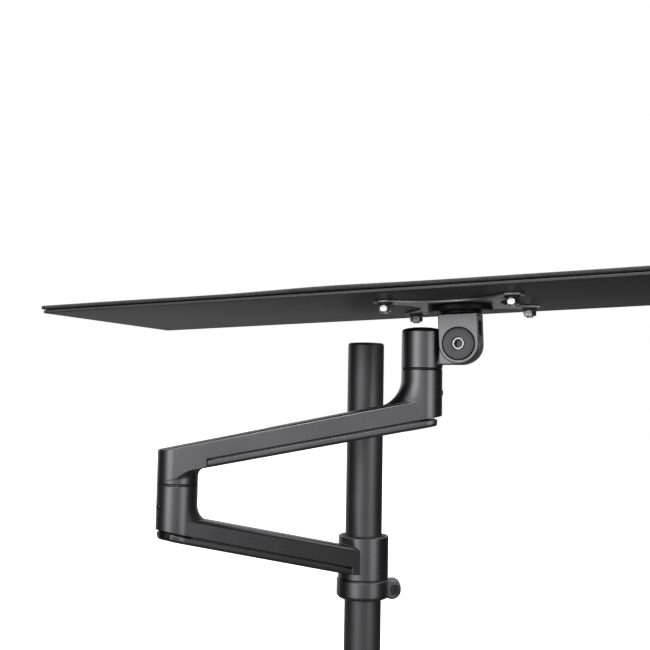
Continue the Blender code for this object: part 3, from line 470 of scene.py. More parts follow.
def tint(tree, value, dark, light):
    ramp = tree.nodes.new("ShaderNodeValToRGB")
    ramp.color_ramp.elements[0].position = 0.3
    ramp.color_ramp.elements[0].color = (*dark, 1)
    ramp.color_ramp.elements[1].position = 0.7
    ramp.color_ramp.elements[1].color = (*light, 1)
    tree.links.new(value, ramp.inputs["Fac"])
    return ramp.outputs["Color"]


def raised(tree, value, shader, depth, strength):
    bump = tree.nodes.new("ShaderNodeBump")
    bump.inputs["Distance"].default_value = depth
    bump.inputs["Strength"].default_value = strength
    tree.links.new(value, bump.inputs["Height"])
    tree.links.new(bump.outputs["Normal"], shader.inputs["Normal"])


def shade(colour, factor):
    return tuple(c * factor for c in colour)


def coat(name, colour, metallic, roughness, grain, depth, strength):
    """Powder coat: a fine orange-peel grain, with a faint unevenness in tone and gloss."""
    material, tree, shader = new_material(name, metallic, roughness)
    cloud = noise(tree, 28.0)
    tree.links.new(tint(tree, cloud, shade(colour, 0.93), shade(colour, 1.06)), shader.inputs["Base Color"])
    fine = noise(tree, grain, 4.0)
    tree.links.new(spread(tree, fine, roughness - 0.035, roughness + 0.035), shader.inputs["Roughness"])
    raised(tree, fine, shader, depth, strength)
    return material


def turned_metal(name, colour, roughness, stretch=(1, 1, 14)):
    """Bare or plated steel with tool marks that run round the piece."""
    material, tree, shader = new_material(name, 1.0, roughness)
    marks = noise(tree, 260.0, 2.0, stretch)
    tree.links.new(tint(tree, marks, shade(colour, 0.84), colour), shader.inputs["Base Color"])
    tree.links.new(spread(tree, marks, roughness - 0.06, roughness + 0.08), shader.inputs["Roughness"])
    raised(tree, marks, shader, 0.00002, 0.2)
    return material


def pebbled(name, colour, roughness, scale, depth, strength):
    """Soft plastic or rubber with a moulded pebble grain, painted lighter on the pebble tops and with painted
    shade in the hollows between them.
    """
    material, tree, shader = new_material(name, 0.0, roughness)
    pebble = cell_distance(tree, scale)
    # Painted light: each pebble's colour is lighter at its middle and darker towards the hollows, as painted
    # shade.
    tone = tree.nodes.new("ShaderNodeValToRGB")
    tone.color_ramp.elements[0].color = (*shade(colour, 1.25), 1)
    tone.color_ramp.elements[1].position = 0.8
    tone.color_ramp.elements[1].color = (*shade(colour, 0.55), 1)
    tree.links.new(pebble, tone.inputs["Fac"])
    tree.links.new(tone.outputs["Color"], shader.inputs["Base Color"])
    gloss = spread(tree, noise(tree, 60.0), roughness - 0.05, roughness + 0.05)
    tree.links.new(gloss, shader.inputs["Roughness"])
    raised(tree, pebble, shader, depth, -strength)
    return material


LOOKS = {
    "pole_black": coat("pole_coat", (0.210, 0.210, 0.217), 0.92, 0.42, 900, 0.00003, 0.2),
    "steel_black": coat("steel_coat", (0.060, 0.060, 0.063), 0.60, 0.42, 1100, 0.00006, 0.3),
    "arm_black": coat("casting_coat", (0.245, 0.245, 0.256), 0.96, 0.29, 1300, 0.00002, 0.08),
    "cover_plastic": coat("cover_grain", (0.240, 0.240, 0.250), 0.95, 0.29, 1900, 0.00002, 0.1),
    "black_plastic": pebbled("plastic_grain", (0.008, 0.008, 0.009), 0.38, 1600, 0.00003, 0.25),
    "bush_plastic": coat("bush_grain", (0.130, 0.130, 0.135), 0.80, 0.36, 2200, 0.00002, 0.2),
    "black_steel": coat("black_oxide", (0.110, 0.110, 0.116), 0.95, 0.34, 2000, 0.00002, 0.3),
    "zinc_steel": turned_metal("zinc_plate", (0.92, 0.92, 0.91), 0.16, (1, 1, 3)),
    "spindle_steel": turned_metal("turned_steel", (0.50, 0.50, 0.52), 0.26),
    "vesa_grey": coat("satin_grey", (0.90, 0.90, 0.91), 0.92, 0.38, 1500, 0.00003, 0.2),
    "tray_black": coat("tray_coat", (0.125, 0.125, 0.128), 0.60, 0.45, 1300, 0.00006, 0.35),
    "mat_rubber": pebbled("mat_pebble", (0.090, 0.090, 0.091), 0.72, 560, 0.0005, 0.8),
    "pad_rubber": pebbled("pad_grain", (0.022, 0.022, 0.022), 0.85, 1400, 0.0002, 0.5),
}


# ---------------------------------------------------------------- pole and desk clamp


def make_pole():
    foot, top = levels("pole")
    bore = POLE_RADIUS - 2.0
    lathe("pole_tube", ring_profile(POLE_RADIUS, bore, foot, top), POST, "pole_black", "post", "pole",
          edge=0.5, sides=160)
    low, high = top + 0.3, levels("pole_cap")[1]
    profile = [(0, high), (11.0, high - 0.15), (15.8, high - 0.5), (17.1, high - 1.3), (17.1, low)]
    plug, inside, foot = bore - 0.3, bore - 2, low - 12
    profile += [(plug, low), (plug, foot), (inside, foot), (inside, low - 0.4), (0, low - 0.4)]
    lathe("pole_end_cap", profile, POST, "black_plastic", "post", "pole_cap", edge=0.5)


def make_socket():
    foot, top = levels("pole_socket")
    seat = foot + 3.0
    bearings = [math.radians(90 + 120 * i) for i in range(3)]
    reach = 30.0
    grub_height = foot + 28

    def field(x, y, z):
        rho = np.hypot(x, y)
        collar = meet(rho - 25.0, between(z, foot, top), 1.4)
        flange = meet(rho - 36.0, between(z, foot, foot + 6.0), 1.0)
        body = join(collar, flange, 3.0)
        body = meet(body, POLE_RADIUS + 0.3 - rho, 0.6)
        for bearing in bearings:
            spot = np.hypot(x - reach * math.cos(bearing), y - reach * math.sin(bearing))
            body = meet(body, -np.maximum(spot - 4.9, seat - z), 0.3)
        turn = math.radians(200)
        along = x * math.cos(turn) + y * math.sin(turn)
        across = np.hypot(y * math.cos(turn) - x * math.sin(turn), z - grub_height)
        return meet(body, -np.maximum(across - 3.3, -along), 0.3)

    moulded("pole_foot_socket", field, (-36, -36, foot), (36, 36, top), COARSE, POST, "steel_black", "post",
            "pole_socket")
    for i, bearing in enumerate(bearings, start=1):
        place = at(reach * math.cos(bearing), reach * math.sin(bearing), seat)
        cap_screw(f"socket_cap_screw_{i}", 4.5, 2.6, 2.5, 8.0, 3.0, place, "black_steel", "post",
                  f"socket_screw_{i}")
    place = turn_z(math.radians(200)) @ at(24.3, 0, grub_height) @ OUTWARD
    grub_screw("socket_grub", 3.0, 6.2, place, "black_steel", "post", "socket_grub_screw")


def arc(centre, radius, start, end, steps=12):
    angles = [math.radians(start + (end - start) * i / steps) for i in range(steps + 1)]
    return [(centre[0] + radius * math.cos(a), centre[1] + radius * math.sin(a)) for a in angles]


def rounded_rectangle(length, width, radius):
    x, y = length / 2 - radius, width / 2 - radius
    points = []
    for i, centre in enumerate(((x, y), (-x, y), (-x, -y), (x, -y))):
        points += arc(centre, radius, 90 * i, 90 * i + 90, 8)
    return points


# An outline in (back, up) becomes a bent plate that is thick along X.
SIDEWAYS = Matrix(((0, 0, 1, 0), (1, 0, 0, 0), (0, 1, 0, 0), (0, 0, 0, 1)))


def make_clamp():
    pad_low, pad_high = levels("desk_pad")
    low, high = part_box("desk_pad")
    centre = (low + high) / 2 / MM
    size = (high - low) / MM
    slab("desk_pad_rubber", rounded_rectangle(size.x, size.y, 6), pad_low, pad_high, 0.4,
         at(0, centre.y, 0), "pad_rubber", "post", "desk_pad")
    low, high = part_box("base_plate")
    half, front, back = high.x / MM, low.y / MM, high.y / MM
    foot, top, sheet, bend = low.z / MM, high.z / MM, 6.0, 10.0
    under, inner = top - sheet, back - sheet
    outline = [(front, under)] + arc((inner - 4, under - 4), 4, 90, 0) + [(inner, foot), (back, foot)]
    outline += arc((back - bend, top - bend), bend, 0, 90) + [(front, top)]
    slab("bent_base_plate", outline, -half, half, 0.9, SIDEWAYS, "steel_black", "post", "base_plate")
    low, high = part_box("clamp_bracket")
    half, front, outer = high.x / MM, low.y / MM, high.y / MM
    jaw_low, top, bend = low.z / MM, high.z / MM, 12.0
    inner, jaw_top = outer - sheet, jaw_low + sheet
    outline = [(front, jaw_low)] + arc((outer - bend, jaw_low + bend), bend, -90, 0)
    outline += [(outer, top), (inner, top)]
    outline += arc((inner - 6, jaw_top + 6), 6, 0, -90) + [(front, jaw_top)]
    slab("clamp_bracket_bent", outline, -half, half, 0.9, SIDEWAYS, "steel_black", "post", "clamp_bracket")
    hex_nut("clamp_weld_nut", 19.0, 5.3, 8.0, at(0, 0, jaw_top), "steel_black", "post")
    for side, x in (("left", -20), ("right", 20)):
        node = f"bracket_screw_{side}"
        place = at(x, outer + 0.3, -13.0) @ BACK
        cap_screw(f"{node}_head", 5.0, 3.5, 3.0, 12.0, 3.2, place, "zinc_steel", "post", node)


def make_clamp_screw():
    low, high = levels("clamp_foot_pad")
    lathe("foot_pad_rubber", [(0, high), (21.0, high), (21.0, low), (0, low)], POST, "pad_rubber",
          "clamp_foot", "clamp_foot_pad", edge=0.5)
    low, high = levels("clamp_foot")
    profile = [(0, high), (22.0, high), (22.0, high - 2.6), (11.0, high - 4.5), (9.5, low), (5.3, low)]
    profile += [(5.3, high - 3), (0, high - 3)]
    lathe("foot_disc", profile, POST, "black_steel", "clamp_foot", "clamp_foot", edge=0.6)
    low, high = levels("clamp_screw")
    thread("clamp_spindle", 5.0, 1.5, low, high, POST, "zinc_steel", "clamp_screw", "clamp_screw")
    foot, neck = levels("clamp_knob")
    rim_top = neck - 6.0

    def field(x, y, z):
        rho, angle = np.hypot(x, y), np.arctan2(y, x)
        lobes = (rho - 25.5 - 2.0 * np.cos(6 * angle)) * 0.93
        grip = meet(lobes, between(z, foot, rim_top), 3.0)
        dish = np.hypot(rho, z - foot + 40) - 43.0
        grip = meet(grip, -dish, 0.8)
        hub = meet(rho - 9.5, between(z, foot + 2, neck), 0.8)
        return meet(join(grip, hub, 2.0), 5.3 - rho, 0.4)

    moulded("clamp_hand_knob", field, (-28, -28, foot), (28, 28, neck), COARSE, POST, "black_plastic",
            "clamp_screw", "clamp_knob")


# ---------------------------------------------------------------- height collar


def make_collar():
    low, high = levels("height_collar")
    outer, bore, lug_radius, lug_reach = 25.3, POLE_RADIUS + 0.3, 8.8, 27.6
    middle = (low + high) / 2 + 0.2
    screw_x, seat = 31.2, 5.0
    place = turn_z(lug_bearing())

    def field(x, y, z):
        rho = np.hypot(x, y)
        ring = meet(rho - outer, low - z, 4.0)
        ring = meet(ring, z - high, 0.7)
        lug = meet(np.hypot(x - lug_reach, z - middle) - lug_radius, np.abs(y) - 8.5, 1.0)
        body = join(ring, lug, 1.0)
        body = meet(body, bore - rho, 0.5)
        body = meet(body, -np.maximum(np.abs(y) - 1.1, 10 - x), 0.4)
        spot = np.hypot(x - screw_x, z - middle)
        body = meet(body, -np.maximum(spot - 4.6, y + seat - 0.3), 0.3)
        nut_seat = np.maximum(np.maximum(seat - 0.3 - y, screw_x - 4.3 - x), np.abs(z - middle) - 5.0)
        return meet(body, -nut_seat, 0.3)

    moulded("split_collar", field, (-26, -26, low), (38, 26, high), MEDIUM, place, "arm_black",
            "height_collar", "height_collar")
    cap_screw("collar_cap_screw", 4.3, 4.0, 2.5, 12.0, 3.0, place @ at(screw_x, -seat, middle) @ FRONT,
              "black_steel", "height_collar", "collar_screw")
    hex_nut("collar_hex_nut", 8.0, 2.8, 3.5, place @ at(screw_x, seat, middle) @ BACK,
            "zinc_steel", "height_collar", "collar_nut")


# ---------------------------------------------------------------- arms


def crowned(top, s, y, z, crown):
    """Above an arm's top, which is a little higher along its middle."""
    return over(top, s, z) + crown * ((y / ARM_HALF) ** 2 - 0.4)


def flared_barrel(top, s, y, z, blend):
    """The outer barrel, which widens towards the arm as it comes down to it."""
    rise = np.clip(over(top, s, z), 0, blend)
    flare = blend - np.sqrt(np.maximum(blend**2 - (blend - rise) ** 2, 0))
    stretch = np.where(s < 0, BARREL_RADIUS / (BARREL_RADIUS + flare), 1.0)
    return np.hypot(s * stretch, y) - BARREL_RADIUS


def arm_floor(parting, s, z, under):
    """Under the arm: level with the parting line, and down to the given underside at the root."""
    root = np.maximum(under, s - COVER_START + 0.4)
    return np.minimum(-over(parting, s, z), root)


def channel(top, reach, s, y, z):
    """The cable channel inside an arm, under its top wall."""
    run = between(s, 30.0, reach - 20.0)
    return np.maximum(np.maximum(run, np.abs(y) - 13.8), over(lowered(top, 3.5), s, z))


def make_lower_arm():
    reach, top, parting = LOWER_REACH, LOWER_TOP, LOWER_PARTING
    barrel_top = ELBOW_SEAM[0] - 0.3
    bore_foot = height(parting, reach) + BORE_RISE
    screw_height = height(parting, reach) + SET_SCREW_RISE

    def field(s, y, z):
        inner, outer = np.hypot(s, y), np.hypot(s - reach, y)
        roof = crowned(top, s, y, z, 1.2)
        beam = meet(roof, stadium(s, y, 0, reach, ARM_HALF), 4.5)
        flare = flared_barrel((height(top, reach), top[1]), s - reach, y, z, 11.0)
        flare = np.maximum(flare, z - barrel_top)
        beam = np.minimum(beam, meet(flare, -roof - 6.0, 0.2))
        under = height(lowered(parting, COVER_DEPTH), COVER_START) - z
        beam = meet(beam, arm_floor(parting, s, z, under), 0.5)
        barrel = meet(meet(outer - BARREL_RADIUS, z - barrel_top, 0.5), -over(parting, s, z), 0.5)
        sleeve = meet(inner - SLEEVE_RADIUS, between(z, *SLEEVE), 0.8)
        arm = join(np.minimum(beam, barrel), sleeve, 0.5)
        arm = meet(arm, 21.0 - inner, 0.7)
        arm = meet(arm, -channel(top, reach, s, y, z), 0.5)
        arm = meet(arm, -np.maximum(outer - SPINDLE_BORE, bore_foot - z), 0.4)
        hole = np.maximum(np.hypot(y, z - screw_height) - 2.5, reach + 4 - s)
        return meet(arm, -hole, 0.35)

    low, high = (-24, -24, 176), (reach + 17, 24, barrel_top)
    moulded("lower_arm_casting", field, low, high, COARSE, LOWER, "arm_black", "lower_arm", "lower_arm")
    make_cover("lower", parting, reach, LOWER, "lower_arm")
    make_end_plug(parting, reach)
    hole = LOWER @ at(reach + SET_SCREW_REACH, 0, screw_height) @ OUTWARD
    grub_screw("elbow_grub", 2.2, 9.0, hole, "black_steel", "lower_arm", "elbow_set_screw")
    lathe("elbow_thrust_washer", ring_profile(BARREL_RADIUS, SPINDLE_BORE, *ELBOW_SEAM), LOWER @ at(reach),
          "bush_plastic", "lower_arm", "elbow_washer", edge=0.35)
    low, high = levels("sleeve_bush_upper")
    bore, outside = POLE_RADIUS + 0.3, 20.7
    profile = [(bore + 0.1, high), (outside - 0.3, high), (outside, high - 0.7)]
    profile += [(outside, low), (bore, low)]
    lathe("sleeve_bush_top", profile, LOWER, "bush_plastic", "lower_arm", "sleeve_bush_upper", edge=0.25)
    low, high = levels("sleeve_bush_lower")
    flange, shoulder = 23.8, low + 1.6
    profile = [(outside, high), (outside, shoulder), (flange, shoulder), (flange, low)]
    profile += [(bore, low), (bore, high)]
    lathe("sleeve_bush_flanged", profile, LOWER, "bush_plastic", "lower_arm", "sleeve_bush_lower", edge=0.3)


def make_cover(arm, parting, reach, place, body):
    """The trough that clips under an arm, with a lip that stands up inside the casting."""
    bottom = lowered(parting, COVER_DEPTH)
    rim = lowered(parting, COVER_SEAM)
    floor = lowered(bottom, -COVER_WALL)
    end = reach + COVER_OVERHANG

    def field(s, y, z):
        plan = stadium(s, y, 0, reach, ARM_HALF - 0.1)
        shell = meet(plan, -over(bottom, s, z), 2.6)
        shell = meet(shell, over(rim, s, z), 0.35)
        shell = meet(shell, COVER_START - s, 0.6)
        hollow = np.maximum(stadium(s, y, 0, reach, ARM_HALF - 0.1 - COVER_WALL), -over(floor, s, z))
        hollow = np.maximum(hollow, COVER_START + COVER_WALL - s)
        shell = meet(shell, -hollow, 0.4)
        wall = np.abs(stadium(s, y, 0, reach - 8.0, 11.8)) - 0.7
        lip = np.maximum(np.maximum(wall, between(s, 31.0, 208.0)), over(lowered(parting, 0.2), s, z))
        lip = np.maximum(lip, -over(lowered(floor, 0.5), s, z))
        shell = np.minimum(shell, lip)
        shell = meet(shell, s - end, 1.2)
        slot = np.maximum(stadium(s, y, COVER_START + 14, COVER_START + 24, 6.0), over(floor, s, z) - 2)
        return meet(shell, -slot, 0.5)

    low = (COVER_START, -17, height(bottom, COVER_START) - 1)
    moulded(f"{arm}_arm_cover", field, low, (end, 17, height(parting, end) + 1), 0.55, place,
            "cover_plastic", body, f"{arm}_cable_cover")


def make_end_plug(parting, reach):
    bottom = lowered(parting, COVER_DEPTH)
    floor = lowered(bottom, -COVER_WALL - 0.3)

    def field(s, y, z):
        plan = np.hypot(s - reach, y) - 14.6
        past_cover = np.maximum(-over(bottom, s, z), reach + COVER_OVERHANG + 0.3 - s)
        under = np.minimum(-over(floor, s, z), past_cover)
        block = meet(plan, under, 0.5)
        block = meet(block, over(lowered(parting, 0.3), s, z), 0.3)
        return np.maximum(block, reach - 10 - s)

    low = (reach - 10, -15, height(bottom, reach - 10))
    moulded("lower_arm_end_plug", field, low, (reach + 15, 15, height(parting, reach + 15)), MEDIUM, LOWER,
            "black_plastic", "lower_arm", "lower_end_plug")


def make_upper_arm():
    reach, top, parting = UPPER_REACH, UPPER_TOP, UPPER_PARTING
    foot, barrel_top = ELBOW_SEAM[1] + 0.3, HEAD_SEAM[0] - 0.3
    bore_foot = height(parting, reach) + BORE_RISE
    bore_head = height(top, 0) - 8.5
    screw_height = height(parting, reach) + SET_SCREW_RISE

    def field(s, y, z):
        inner, outer = np.hypot(s, y), np.hypot(s - reach, y)
        roof = crowned(top, s, y, z, 1.6)
        beam = meet(roof, stadium(s, y, 0, reach, ARM_HALF), 1.4)
        flare = flared_barrel((height(top, reach), top[1]), s - reach, y, z, 18.7)
        flare = np.maximum(flare, z - barrel_top)
        beam = np.minimum(beam, meet(flare, -roof - 6.0, 0.2))
        under = join(-over(lowered(parting, COVER_DEPTH), s, z), inner - BARREL_RADIUS, 6.0)
        beam = meet(beam, arm_floor(parting, s, z, under), 0.5)
        beam = meet(beam, foot - z, 0.5)
        barrel = meet(meet(outer - BARREL_RADIUS, z - barrel_top, 0.5), -over(parting, s, z), 0.5)
        arm = np.minimum(beam, barrel)
        arm = meet(arm, -channel(top, reach, s, y, z), 0.5)
        arm = meet(arm, -np.maximum(inner - BUSH_BORE, z - bore_head), 0.4)
        arm = meet(arm, -np.maximum(outer - BUSH_BORE, bore_foot - z), 0.4)
        hole = np.maximum(np.hypot(y, z - screw_height) - 2.5, reach + 4 - s)
        return meet(arm, -hole, 0.35)

    low, high = (-17, -17, foot), (reach + 17, 17, barrel_top)
    moulded("upper_arm_casting", field, low, high, COARSE, UPPER, "arm_black", "upper_arm", "upper_arm")
    make_cover("upper", parting, reach, UPPER, "upper_arm")
    hole = UPPER @ at(reach + SET_SCREW_REACH, 0, screw_height) @ OUTWARD
    grub_screw("head_grub", 2.2, 9.0, hole, "black_steel", "upper_arm", "head_set_screw")


# ---------------------------------------------------------------- head


def make_swivel_head():
    foot, knuckle = HEAD_SEAM[1] + 0.3, 17.0
    top = levels("swivel_cap")[0] - 0.3

    def field(x, y, z):
        drum = meet(np.hypot(x, y) - BARREL_RADIUS, between(z, foot, top), 0.6)
        disc = np.hypot(x - TILT_X, z - TILT_Z) - knuckle
        web = np.maximum(between(x, 6.0, TILT_X), between(z, TILT_Z - knuckle, top - 2.0))
        brow = np.maximum(between(x, 17.6, TILT_X), between(z, TILT_Z, TILT_Z + knuckle))
        brow = np.maximum(brow, (z - x - TILT_Z - knuckle + 20.5) * math.sqrt(0.5))
        plate = meet(np.minimum(np.minimum(disc, web), brow), np.abs(y) - 6.8, 0.9)
        body = join(drum, plate, 1.2)
        body = meet(body, 6.1 - np.hypot(x - TILT_X, z - TILT_Z), 0.5)
        return meet(body, -np.maximum(np.hypot(x, y) - SPINDLE_BORE, z - top + 10.0), 0.4)

    low, high = (-17, -17, foot), (TILT_X + 17, 17, TILT_Z + 17)
    moulded("swivel_head_casting", field, low, high, MEDIUM, HEAD, "arm_black", "swivel_head", "swivel_head")
    low, high = levels("swivel_cap")
    crown = high - low - 0.3
    radius = 16.6
    angles = np.radians([0, 18, 36, 54, 68, 80, 90])
    dome = [(radius * math.sin(a), low + 0.3 + crown * math.cos(a)) for a in angles]
    profile = [(0, dome[0][1])] + dome[1:] + [(radius, low), (0, low)]
    lathe("swivel_head_cap", profile, HEAD, "black_plastic", "swivel_head", "swivel_cap", edge=0.3)
    lathe("head_thrust_washer", ring_profile(BARREL_RADIUS, SPINDLE_BORE, *HEAD_SEAM), HEAD,
          "bush_plastic", "swivel_head", "head_washer", edge=0.35)


def make_tilt_bracket():
    bridge_foot, bridge_top, ear = 18.4, 24.7, 16.4
    seat = 10.6

    def field(x, y, z):
        rho = np.hypot(x, z)
        outline = np.where(z < 0, rho - ear, np.maximum(np.abs(x) - ear, z - bridge_top))
        body = meet(outline, np.abs(y) - 12.2, 0.9)
        body = meet(body, -np.maximum(np.abs(y) - 8.2, z - bridge_foot), 0.7)
        body = meet(body, 4.3 - rho, 0.3)
        return meet(body, -np.maximum(rho - 13.5, y + seat), 0.25)

    moulded("tilt_clevis", field, (-ear, -12.2, -ear), (ear, 12.2, bridge_top), 0.4, TRAY, "arm_black",
            "tilt_bracket", "tilt_bracket")
    front = TRAY @ FRONT
    back = TRAY @ BACK
    face = 12.4
    profile = [(12.7, face), (12.7, seat + 0.3), (5.4, seat + 0.3), (5.4, face)]
    lathe("tilt_lock_disc", profile, front, "black_steel", "tilt_bracket", "tilt_disc", edge=0.3)
    lathe("tilt_disc_seal", ring_profile(13.35, 12.8, seat + 0.2, seat + 0.9), front, "black_plastic",
          "tilt_bracket", edge=0.1)
    cap_screw("tilt_pivot_bolt", 4.7, 2.2, 3.9, 30.0, 6.4, front @ at(0, 0, 11.0), "zinc_steel",
              "tilt_bracket", "tilt_bolt", depth=-1.2)

    # Painted shade: a black hexagon lining inside the bolt head's socket stands in for the shade in the recess.
    def socket_shade_lining(x, y, z):
        outside = np.maximum(hexagon(x, y, 3.15), between(z, -2.6, 1.5))
        return meet(outside, -np.maximum(hexagon(x, y, 2.6), -2.1 - z), 0.1)

    moulded("tilt_bolt_socket", socket_shade_lining, (-4, -4, -3), (4, 4, 2), 0.2, front @ at(0, 0, 11.0), "black_steel",
            "tilt_bracket")
    lathe("tilt_washer", ring_profile(8.5, 3.7, 12.5, 13.9), back, "spindle_steel", "tilt_bracket",
          "tilt_spring_washer")
    hex_nut("tilt_nut", 12.0, 3.7, 6.5, back @ at(0, 0, 14.2), "zinc_steel", "tilt_bracket", "tilt_lock_nut")
    profile = [(17.2, 26.5), (17.2, 25.0), (3.3, 25.0), (3.3, 26.5)]
    lathe("hub_spacer", profile, TRAY, "black_plastic", "tilt_bracket", "hub_base", edge=0.3)


# ---------------------------------------------------------------- tray


def make_vesa_plate():
    half, tip, waist = 50.0, 9.0, 34.0
    far, near = half + tip * math.sqrt(0.5), half - tip * math.sqrt(0.5)
    hollow = (far**2 + near**2 - waist**2) / (2 * (far - waist))
    radius = hollow - waist
    top = 33.75
    small = 37.5

    def field(x, y, z):
        u, v = np.maximum(np.abs(x), np.abs(y)), np.minimum(np.abs(x), np.abs(y))
        outer = np.hypot(np.maximum(u - half, 0), np.maximum(v - half, 0)) - tip
        outer = np.maximum(outer, radius - np.hypot(u - hollow, v))
        plate = meet(outer, between(z, top - 2.0, top), 0.35)
        plate = meet(plate, 7.3 - np.hypot(x, y), 0.3)
        along = (np.abs(x) + np.abs(y)) * math.sqrt(0.5)
        across = (np.abs(x) - np.abs(y)) * math.sqrt(0.5)
        middle = small * math.sqrt(2)
        slot = np.hypot(along - np.clip(along, middle - 2.2, middle + 2.2), across) - 2.6
        hole = np.hypot(np.abs(x) - half, np.abs(y) - half) - 3.3
        return meet(plate, -np.minimum(slot, hole), 0.25)

    moulded("vesa_spider_plate", field, (-59, -59, top - 2), (59, 59, top), 0.5, TRAY, "vesa_grey", "tray",
            "vesa_plate")
    profile = [(26.7, 31.4), (26.7, 26.8), (4.9, 26.8), (4.9, 31.4)]
    lathe("turntable_disc", profile, TRAY, "black_plastic", "tray", "hub_disc", edge=1.1, sides=128)
    washer_top = top - 2.3
    corners = ((1, 1, -5), (-1, 1, 12), (-1, -1, 0), (1, -1, -4))  # the nut's side, side and turn
    for i, (sx, sy, turned) in enumerate(corners, start=1):
        spot = TRAY @ at(sx * half, sy * half)
        lathe(f"stud_flat_washer_{i}", ring_profile(6.5, 3.3, washer_top - 1.2, washer_top), spot,
              "black_steel", "tray", f"stud_washer_{i}", sides=48)
        nut = spot @ at(0, 0, washer_top - 6.5) @ turn_z(math.radians(turned))
        hex_nut(f"stud_hex_nut_{i}", 9.8, 3.3, 5.0, nut, "zinc_steel", "tray", f"stud_nut_{i}")
        thread(f"tray_stud_{i}", 3.0, 1.0, washer_top - 7.7, 34.4, spot, "zinc_steel", "tray")


def make_tray():
    low, length, depth, sheet = 34.05, 670.0, 209.0, 2.4
    slab("tray_sheet", rounded_rectangle(length, depth, 3), low, low + sheet, 0.5, TRAY, "tray_black", "tray",
         "tray_plate")
    make_mat(low + sheet + 0.7, length + 2, depth + 2, 3.4)


def box_skin(lines, half):
    """Points and quads of a box whose faces are ruled along the given lines on each axis."""
    points, faces = [], []
    for axis in range(3):
        u, v = (axis + 1) % 3, (axis + 2) % 3
        for sign in (-1, 1):
            start = len(points)
            for a in lines[u]:
                for b in lines[v]:
                    point = [0.0, 0.0, 0.0]
                    point[axis], point[u], point[v] = sign * half[axis], a, b
                    points.append(point)
            rows = len(lines[v])
            for i in range(len(lines[u]) - 1):
                for j in range(rows - 1):
                    ring = [start + i * rows + j, start + (i + 1) * rows + j]
                    ring += [ring[1] + 1, ring[0] + 1]
                    faces.append(ring if sign > 0 else ring[::-1])
    return np.array(points), faces


def wave(x, y):
    """How far the mat lifts off the tray: one crest, a dip beside it, and unevenness all over."""
    crest = np.exp(-(((x + 75) / 52) ** 2))
    dip = 0.35 * np.exp(-(((x + 175) / 60) ** 2))
    edge = 0.18 * (np.sin(x / 23.0) * np.sin(y / 31.0) - 1)
    return np.clip(0.9 * crest - dip + edge, -0.5, 0.7)


def make_mat(low, length, depth, thickness):
    """A soft mat that lies in a long shallow wave, with a rounded rim."""
    half = np.array([length / 2, depth / 2, thickness / 2])
    rim = 1.5
    ends = half - rim
    lines = []
    for size, end, count in zip(half, ends, (224, 70, 1)):
        curve = end + rim * np.sin(np.radians([22, 45, 68]))
        inner = np.linspace(-end, end, count + 1)
        lines.append(np.concatenate([[-size], -curve[::-1], inner, curve, [size]]))
    points, faces = box_skin(lines, half)
    core = np.clip(points, -ends, ends)
    away = points - core
    points = core + away * (rim / np.maximum(np.linalg.norm(away, axis=1), rim / 2))[:, None]
    lift = wave(points[:, 0], points[:, 1])
    points[:, 2] += low + thickness / 2 + lift * np.clip((points[:, 2] + 2.2) / 1.5, 0.15, 1)
    mesh = bpy.data.meshes.new("mat")
    mesh.from_pydata((points * MM).tolist(), [], faces)
    shape = bmesh.new()
    shape.from_mesh(mesh)
    bmesh.ops.remove_doubles(shape, verts=shape.verts, dist=0.00001)
    shape.to_mesh(mesh)
    shape.free()
    mesh.transform(TRAY)
    mesh.shade_smooth()
    finish_piece("tray_soft_mat", mesh, "mat_rubber", "tray", "tray_mat")


# ---------------------------------------------------------------- studio


def make_camera():
    """The photograph's viewpoint: a normal lens a little left of square to the tray, tipped up."""
    camera = bpy.data.objects.new("camera", bpy.data.cameras.new("camera"))
    camera.data.lens = 50
    camera.data.sensor_width = 36
    camera.data.clip_start = 0.01
    yaw, pitch, roll = -0.3516, 0.0756, 0.0175  # radians
    ahead = Vector((math.sin(yaw) * math.cos(pitch), math.cos(yaw) * math.cos(pitch), math.sin(pitch)))
    level = Vector((math.cos(yaw), -math.sin(yaw), 0))
    up = level.cross(ahead)
    right = level * math.cos(roll) + up * math.sin(roll)
    up = up * math.cos(roll) - level * math.sin(roll)
    matrix = Matrix((right, up, -ahead)).transposed().to_4x4()
    matrix.translation = (0.26544, -0.84149, 0.3523)
    camera.matrix_world = matrix
    bpy.context.scene.collection.objects.link(camera)
    bpy.context.scene.camera = camera


# Brightness round the studio, by bearing in degrees from +X: dark at the left, a soft box in front and one
# at its right, dark at the right and a pale wall behind
SURROUND = (
    (-180, 0.02), (-150, 0.02), (-130, 0.35), (-117, 1.75), (-98, 1.70), (-84, 0.68), (-70, 0.60),
    (-52, 0.36), (-42, 0.65), (-33, 1.45), (-18, 1.35), (-6, 0.30), (8, 0.05), (34, 0.02), (62, 0.04),
    (84, 0.22), (122, 0.75), (146, 0.80), (166, 0.20), (180, 0.02),
)
# Brightness by height, from 0 straight down to 1 straight up: of that surround, and of the box overhead
FLANK = (
    (0.0, 0.0), (0.30, 0.12), (0.36, 0.30), (0.435, 0.62), (0.50, 1), (0.57, 1), (0.66, 0.3), (0.8, 0),
)
OVERHEAD = (
    (0.0, 0.04), (0.35, 0.01), (0.5, 0.0), (0.72, 0.02), (0.82, 0.40), (0.9, 0.65), (1, 0.7),
)


def calculated(tree, operation, first, second):
    """What the operation makes of two values."""
    node = tree.nodes.new("ShaderNodeMath")
    node.operation = operation
    tree.links.new(first, node.inputs[0])
    tree.links.new(second, node.inputs[1])
    return node.outputs["Value"]


